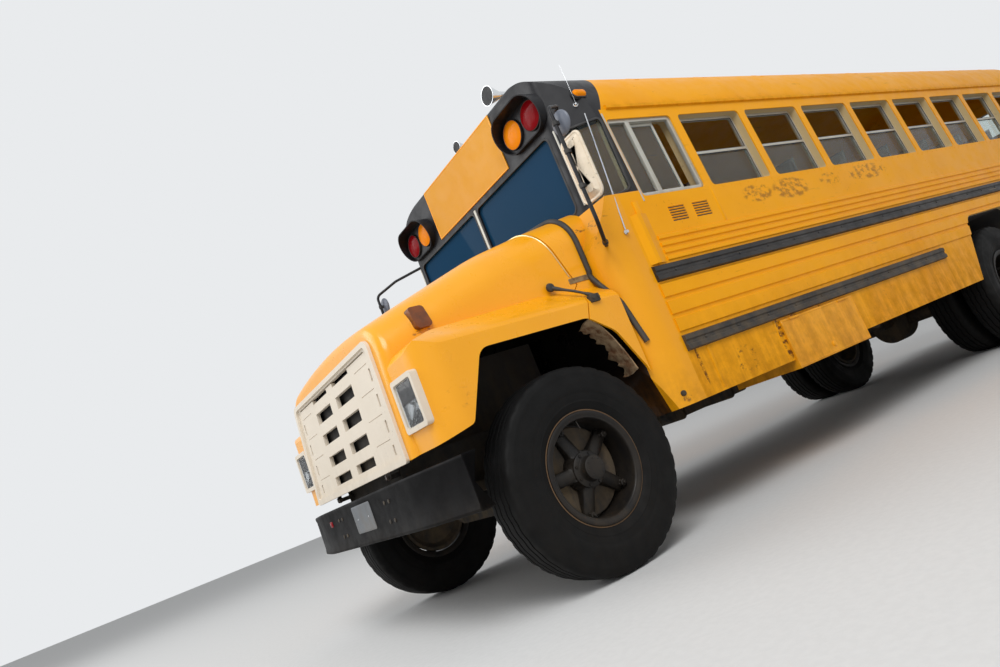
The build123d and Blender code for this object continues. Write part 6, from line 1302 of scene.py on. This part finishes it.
class SCENE_OT_bus_mirrors(bpy.types.Operator):
    """Mirror shells and faces, round mirrors, clamps and brace rods"""
    bl_idname = "scene.bus_mirrors"
    bl_label = "Mirrors"

    def execute(self, context):
        y = 1.350
        centre = spot(-0.470, y, 1.9825)
        shell = plate(rounded(0.170, 0.385, 0.042, 6),
                      [(-0.010, 0.0), (-0.003, 0.0), (0, 0.003), (0, 0.010), (-0.002, 0.013),
                       (-0.007, 0.0145), (-0.012, 0.013), (-0.016, 0.011), (-0.022, 0.014),
                       (-0.034, 0.0235), (-0.050, 0.030), (-0.068, 0.0335), (-0.080, 0.0345)],
                      centre, *FRONT)
        face = plate(rounded(0.150, 0.365, 0.034, 6), [(0, 0), (0, 0.0006), (-0.003, 0.001)],
                     centre + (0.0006, 0, 0), *REAR)
        disc = lathe([(-0.012, 0.060), (-0.010, 0.068), (-0.004, 0.070), (0.0, 0.068), (0.004, 0.062),
                      (0.009, 0.048), (0.013, 0.028), (0.0145, 0.01)], spot(-0.4505, y, 2.254), FORE, 36)
        disc_face = lathe([(0.0, 0.0625), (0.001, 0.0625), (0.0015, 0.05), (0.0018, 0.01)],
                          spot(-0.4622, y, 2.254), (-1, 0, 0), 36)
        clamps = []
        for z in (1.88, 2.085, 2.254):
            clamps.append(block(spot(-0.445, y - 0.010, z - 0.011), spot(-0.424, y + 0.010, z + 0.011)))
            clamps.append(band(0.012, 0.0112, 0.0155, spot(-0.412, y, z), UPWARD, 16))
        clamps.append(band(0.016, 0.0115, 0.017, spot(-0.560, 1.1965, 1.600), (1, 1, 0), 16))
        top, foot = spot(-0.875, 1.150, 2.425), spot(-0.735, 1.203, 1.632)
        rod = tube(eased([top, top * 0.5 + foot * 0.5 + (0.004, 0.004, 0), foot], 12), 0.0045, 8, FORE)
        boss = lathe([(-0.012, 0.012), (0.0, 0.016), (0.014, 0.009)], foot, SIDEWAYS, 14)
        piece("mirror_shells", "mirror_steel", both(shell), hides=["mirror_heads"])
        piece("mirror_discs", "disc_grey", both(disc))
        piece("mirror_faces", "mirror_face", both(face), both(disc_face))
        piece("mirror_clamps", "seal_rubber", both(*clamps))
        piece("mirror_rods", "horn_chrome", both(rod), both(boss))
        return {"FINISHED"}


# Under the floor and inside


def leaf_pack(y, x, half, low, eye, leaves, wide):
    """Leaf spring: each leaf follows z = low + (eye - low)(d / half)^2 and is shorter than the one above."""
    shapes = []
    for n in range(leaves):
        reach = half * (1.0 if n < 2 else 1.0 - 0.11 * (n - 1))
        d = np.linspace(-reach, reach, 25)
        z = low + 0.052 - n * 0.0095 + (eye - low - 0.052) * (d / half) ** 2
        shapes.append(carried(np.stack([x + d, np.full(25, y), z], axis=-1), rounded(wide, 0.0085, 0.002, 2)))
    for end in (-1, 1):
        shapes.append(band(wide / 2, 0.016, 0.024, (x + end * half, y, eye), SIDEWAYS, 18))
    for end in (-0.085, 0.085):
        for side in (-1, 1):
            across = y + side * (wide / 2 + 0.008)
            ends = [(x + end, across, low - 0.02), (x + end, across, low + 0.085)]
            shapes.append(tube(ends, 0.008, 8, FORE))
    return join(shapes)


class SCENE_OT_bus_underside(bpy.types.Operator):
    """Spring leaves, tank straps, exhaust bands, battery door trim and frame bolts"""
    bl_idname = "scene.bus_underside"
    bl_label = "Underside"

    def execute(self, context):
        piece("spring_leaves", "chassis_black",
              both(leaf_pack(0.482, AXLE_X, 0.585, 0.585, 0.700, 6, 0.070),
                   leaf_pack(0.482, REAR_AXLE_X, 0.665, 0.605, 0.700, 6, 0.070)))
        low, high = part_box("fuel_tank")
        loop = rounded(high.y - low.y, high.z - low.z, 0.03, 4)
        straps = [gasket(loop, (x, (low.y + high.y) / 2, (low.z + high.z) / 2), *FRONT, 0.022, 0.003)
                  for x in (low.x + 0.22, high.x - 0.22)]
        cap = lathe([(-0.004, 0.045), (0.012, 0.045), (0.016, 0.040), (0.028, 0.038), (0.031, 0.030)],
                    (low.x + 0.35, low.y, 0.72), (0, -1, 0), 24)
        piece("tank_straps", "chassis_black", *straps, cap)
        bands = [band(0.015, 0.1045, 0.109, spot(x, 0.620, 0.760), FORE, 32) for x in (-3.70, -3.28, -2.85)]
        piece("silencer_bands", "window_alloy", *bands)
        low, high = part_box("battery_box")
        middle = (low.x + high.x) / 2
        hinges = [band(0.05, 0.004, 0.008, (x, HALF + 0.0125, 0.866), FORE, 12)
                  for x in (low.x + 0.14, high.x - 0.14)]
        latch = lathe([(-0.001, 0.020), (0.003, 0.020), (0.005, 0.016), (0.0095, 0.014)],
                      (middle, HALF + 0.012, 0.62), SIDEWAYS, 20)
        rim = gasket(rounded(high.x - low.x - 0.02, 0.296, 0.012, 3), (middle, HALF + 0.0115, 0.718), *LEFT,
                     0.005, 0.003)
        piece("battery_door_trim", "body_yellow", *hinges, latch, rim)
        places = [spot(x, 0.4325, z) for x in np.arange(-7.2, -0.9, 0.45) for z in (0.70, 0.86)]
        heads = studs(places, [SIDEWAYS] * len(places), bolt(0.012, 0.006))
        piece("frame_bolts", "chassis_black", both(heads))
        return {"FINISHED"}


def cushion(width, deep, thick, at, across, up, channels=0):
    """Crowned pad: a rounded outline whose rows swell as a half ellipse; its top is dished at the sewn
    channels and its sides pull in between the corners."""
    crown = 0.30
    u, v = np.meshgrid(np.linspace(-1, 1, 33), np.linspace(-1, 1, 19), indexing="ij")
    su, sv = np.sign(u) * np.abs(u) ** 0.8, np.sign(v) * np.abs(v) ** 0.8
    edge = np.clip((1 - np.abs(su) ** 10) * (1 - np.abs(sv) ** 10), 0, 1)
    pull = 1 - 0.012 * (1 - np.abs(su) ** 4) * np.abs(sv) ** 6
    pull_u = 1 - 0.010 * (1 - np.abs(sv) ** 4) * np.abs(su) ** 6
    swell = edge ** 0.35 * (1 - crown * 0.5 * (su ** 2 + sv ** 2) / 2)
    dish = np.zeros_like(u)
    for n in range(channels):
        place = (n + 1) / (channels + 1) * 2 - 1
        dish += np.exp(-((su - place) / 0.025) ** 2) * 0.10
    across, up = unit(across), unit(up)
    flat = (su * width / 2 * pull_u)[..., None] * across + (sv * deep / 2 * pull)[..., None] * up + at
    heights = ((swell - dish * edge) * 0.5, -0.5 * edge ** 0.35)
    return join([sheet(flat + (height * thick)[..., None] * np.cross(across, up)) for height in heights])


def piping(width, deep, at, across, up, lift):
    """Sewn welt round a pad's top edge."""
    return gasket(rounded(width, deep, 0.03, 4), at + np.cross(across, up) * lift, across, up, 0.004, 0.004)


class SCENE_OT_bus_seats(bpy.types.Operator):
    """Padded benches with sewn channels and welts, and the driver's seat"""
    bl_idname = "scene.bus_seats"
    bl_label = "Seats"

    def execute(self, context):
        side_y, wide = (0.160 + 1.085) / 2, 1.085 - 0.160
        pads, welts = [], []
        for n in range(7):
            x = -2.330 - 0.715 * n
            base = spot(x - 0.200, side_y, 1.385)
            middle, rise, tall = self.slope(spot(x - 0.445, side_y, 1.36), spot(x - 0.500, side_y, 1.994))
            pads += [cushion(0.396, wide - 0.006, 0.108, base, FORE, SIDEWAYS),
                     cushion(wide - 0.006, tall, 0.080, middle, SIDEWAYS, rise, 2)]
            welts += [piping(0.372, wide - 0.03, base, FORE, SIDEWAYS, 0.034),
                      piping(wide - 0.02, tall - 0.02, middle, SIDEWAYS, rise, 0.026)]
        for name, flip in SIDES:
            pad = piece(f"bench_pads_{name}", "seat_vinyl", *map(flip, pads), hides=[f"seat_cushions_{name}"],
                        crease=60.0)
            piece(f"bench_welts_{name}", "seat_vinyl", *map(flip, welts))
        driver_y = 0.620
        base = spot(-1.6075, driver_y, 1.410)
        middle, rise, tall = self.slope(spot(-1.865, driver_y, 1.41), spot(-1.925, driver_y, 2.034))
        pad = piece("driver_pads", "seat_vinyl", cushion(0.408, 0.474, 0.098, base, FORE, SIDEWAYS),
                    cushion(0.434, tall, 0.092, middle, SIDEWAYS, rise, 2), hides=["driver_seat"],
                    crease=60.0)
        foot = block(spot(-1.73, 0.52, 1.001), spot(-1.52, 0.72, 1.03), 0.004)
        column = lathe([(0.02, 0.075), (0.03, 0.06), (0.12, 0.045), (0.26, 0.045), (0.30, 0.08),
                        (0.352, 0.10)], spot(-1.625, driver_y, 1.0), UPWARD, 24)
        piece("driver_pedestal", "chassis_black", foot, column)
        piece("driver_welts", "seat_vinyl", piping(0.386, 0.452, base, FORE, SIDEWAYS, 0.031),
              piping(0.414, tall - 0.02, middle, SIDEWAYS, rise, 0.03))
        return {"FINISHED"}

    def slope(self, foot, head):
        """Middle, direction and length of a sloping back."""
        return (foot + head) / 2, unit(head - foot), np.linalg.norm(head - foot)


class SCENE_OT_bus_cab(bpy.types.Operator):
    """Dials and gear lever about the driver's place"""
    bl_idname = "scene.bus_cab"
    bl_label = "Driver's place"

    def execute(self, context):
        dash = skin_of("dashboard")
        faces, rims = [], []
        for y, z, r in ((0.52, 1.60, 0.048), (0.72, 1.60, 0.048), (0.62, 1.545, 0.026), (0.42, 1.56, 0.026),
                        (0.80, 1.54, 0.026)):
            place, normal = touch(dash, [spot(-1.4, y, z)], FORE)
            faces.append(studs(place, normal, [(0.002, r * 0.94), (0.003, r * 0.9)], 28))
            rim = [(-0.004, r), (0.006, r), (0.008, r * 0.96), (0.0035, r * 0.93)]
            rims.append(studs(place, normal, rim, 28))
        piece("dial_faces", "dial_white", *faces)
        piece("dial_rims", "dash_plastic", *rims)
        lever = tube(eased([spot(-1.12, 0.26, 1.00), spot(-1.14, 0.27, 1.25), spot(-1.18, 0.30, 1.55)], 14),
                     0.009, 10, FORE)
        knob = lathe([(-0.02, 0.010), (-0.008, 0.024), (0.012, 0.027), (0.028, 0.018), (0.032, 0.006)],
                     spot(-1.18, 0.30, 1.56), UPWARD, 20)
        boot = lathe([(0.0, 0.070), (0.012, 0.066), (0.03, 0.040), (0.05, 0.036), (0.07, 0.022)],
                     spot(-1.12, 0.26, 1.0005), UPWARD, 24)
        piece("gear_lever", "dash_plastic", lever, knob, boot)
        return {"FINISHED"}


# Finishes, stage and panel


class SCENE_OT_bus_finishes(bpy.types.Operator):
    """Builds the shader groups and finishes and lays them on the CAD nodes"""
    bl_idname = "scene.bus_finishes"
    bl_label = "Finishes"

    def execute(self, context):
        for build in GROUPS:
            build()
        for name, values in PAINTED.items():
            painted(name, **values)
        for name, values in GLAZED.items():
            glass(name, *values)
        woven_vinyl("seat_vinyl", "seats", (104, 82, 62))
        for name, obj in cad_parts.items():
            for slot in obj.material_slots:
                slot.material = MATERIALS[NODE_FINISH.get(name) or slot.material.name.split(".")[0]]
        return {"FINISHED"}


class SCENE_OT_bus_stage(bpy.types.Operator):
    """Camera, pale floor and soft studio light"""
    bl_idname = "scene.bus_stage"
    bl_label = "Stage"

    def execute(self, context):
        settings, scene = context.scene.bus_stage, context.scene
        right = Vector((-0.79790701, 0.47976677, -0.36492225))
        down = Vector((0.2201543, -0.33162707, -0.91736338))
        forward = Vector((-0.56113857, -0.81230987, 0.15898484))
        data = bpy.data.cameras.new("photo_camera")
        data.lens = settings.lens
        data.sensor_width = 36.0
        data.clip_end = 300.0
        camera = bpy.data.objects.new("photo_camera", data)
        scene.collection.objects.link(camera)
        turn = Matrix((right, -down, -forward)).transposed().to_4x4()
        camera.matrix_world = Matrix.Translation(Vector(settings.camera_at)) @ turn
        scene.camera = camera
        reach = 60.0
        mesh = bpy.data.meshes.new("studio_floor")
        mesh.from_pydata([(-reach, -reach, 0), (reach, -reach, 0), (reach, reach, 0), (-reach, reach, 0)], [],
                         [(0, 1, 2, 3)])
        floor = bpy.data.objects.new("studio_floor", mesh)
        scene.collection.objects.link(floor)
        net, shader = new_material("studio_floor")
        speckle = net.ramp(net.noise(30.0, 3.0), 0.3, 0.7)
        darker = tuple(0.96 * c for c in settings.floor)
        finish_shader(net, shader, {"Base Color": net.mixed(speckle, darker, tuple(settings.floor)),
                                    "Roughness": 0.85})
        mesh.materials.append(MATERIALS["studio_floor"])
        world = bpy.data.worlds.new("studio")
        world.use_nodes = True
        scene.world = world
        net, back = Net(world.node_tree), world.node_tree.nodes["Background"]
        path = net.node("LightPath").outputs
        through = net.math("MAXIMUM", path["Is Glossy Ray"], path["Is Transmission Ray"])
        seen = net.math("MAXIMUM", path["Is Camera Ray"], through)
        finish_shader(net, back, {"Strength": net.plus(net.times(seen, 0.5), 0.5),
                                  "Color": tuple(settings.backdrop)})
        for label, at, power, span in (("key_light", (9, 9, 12), 1500.0, 8.0),
                                       ("fill_light", (12, -7, 8), 700.0, 9.0)):
            lamp = bpy.data.lights.new(label, "AREA")
            lamp.energy = power
            lamp.size = span
            obj = bpy.data.objects.new(label, lamp)
            scene.collection.objects.link(obj)
            obj.location = at
            obj.rotation_euler = (Vector((0, 0, 1)) - Vector(at)).to_track_quat("-Z", "Y").to_euler()
        scene.view_settings.view_transform = "Standard"
        return {"FINISHED"}


class VIEW3D_PT_school_bus(bpy.types.Panel):
    """Sizes, colours and pieces of the school bus"""
    bl_idname = "VIEW3D_PT_school_bus"
    bl_label = "School Bus"
    bl_space_type = "VIEW_3D"
    bl_region_type = "UI"
    bl_category = "School Bus"

    def draw(self, context):
        layout = self.layout
        for settings in (context.scene.bus_paint, context.scene.bus_sizes, context.scene.bus_stage):
            for key in settings.__annotations__:
                layout.prop(settings, key)
        for item in OPERATORS:
            layout.operator(item.bl_idname)


OPERATORS = [SCENE_OT_bus_finishes, SCENE_OT_bus_wheels, SCENE_OT_bus_bumpers, SCENE_OT_bus_front,
             SCENE_OT_bus_windscreen, SCENE_OT_bus_windows, SCENE_OT_bus_doors, SCENE_OT_bus_body,
             SCENE_OT_bus_mirrors, SCENE_OT_bus_underside, SCENE_OT_bus_seats, SCENE_OT_bus_cab,
             SCENE_OT_bus_stage]
CLASSES = [BusPaint, BusSizes, BusStage] + OPERATORS + [VIEW3D_PT_school_bus]


def register():
    """Adds the classes and the settings."""
    for item in CLASSES:
        bpy.utils.register_class(item)
    bpy.types.Scene.bus_paint = PointerProperty(type=BusPaint)
    bpy.types.Scene.bus_sizes = PointerProperty(type=BusSizes)
    bpy.types.Scene.bus_stage = PointerProperty(type=BusStage)


def unregister():
    """Takes the classes and the settings away."""
    del bpy.types.Scene.bus_stage
    del bpy.types.Scene.bus_sizes
    del bpy.types.Scene.bus_paint
    for item in reversed(CLASSES):
        bpy.utils.unregister_class(item)


def main():
    """Builds the finished bus."""
    register()
    bpy.ops.scene.bus_finishes()
    bpy.ops.scene.bus_wheels()
    bpy.ops.scene.bus_bumpers()
    bpy.ops.scene.bus_front()
    bpy.ops.scene.bus_windscreen()
    bpy.ops.scene.bus_windows()
    bpy.ops.scene.bus_doors()
    bpy.ops.scene.bus_body()
    bpy.ops.scene.bus_mirrors()
    bpy.ops.scene.bus_underside()
    bpy.ops.scene.bus_seats()
    bpy.ops.scene.bus_cab()
    bpy.ops.scene.bus_stage()


if __name__ == "__main__":
    main()
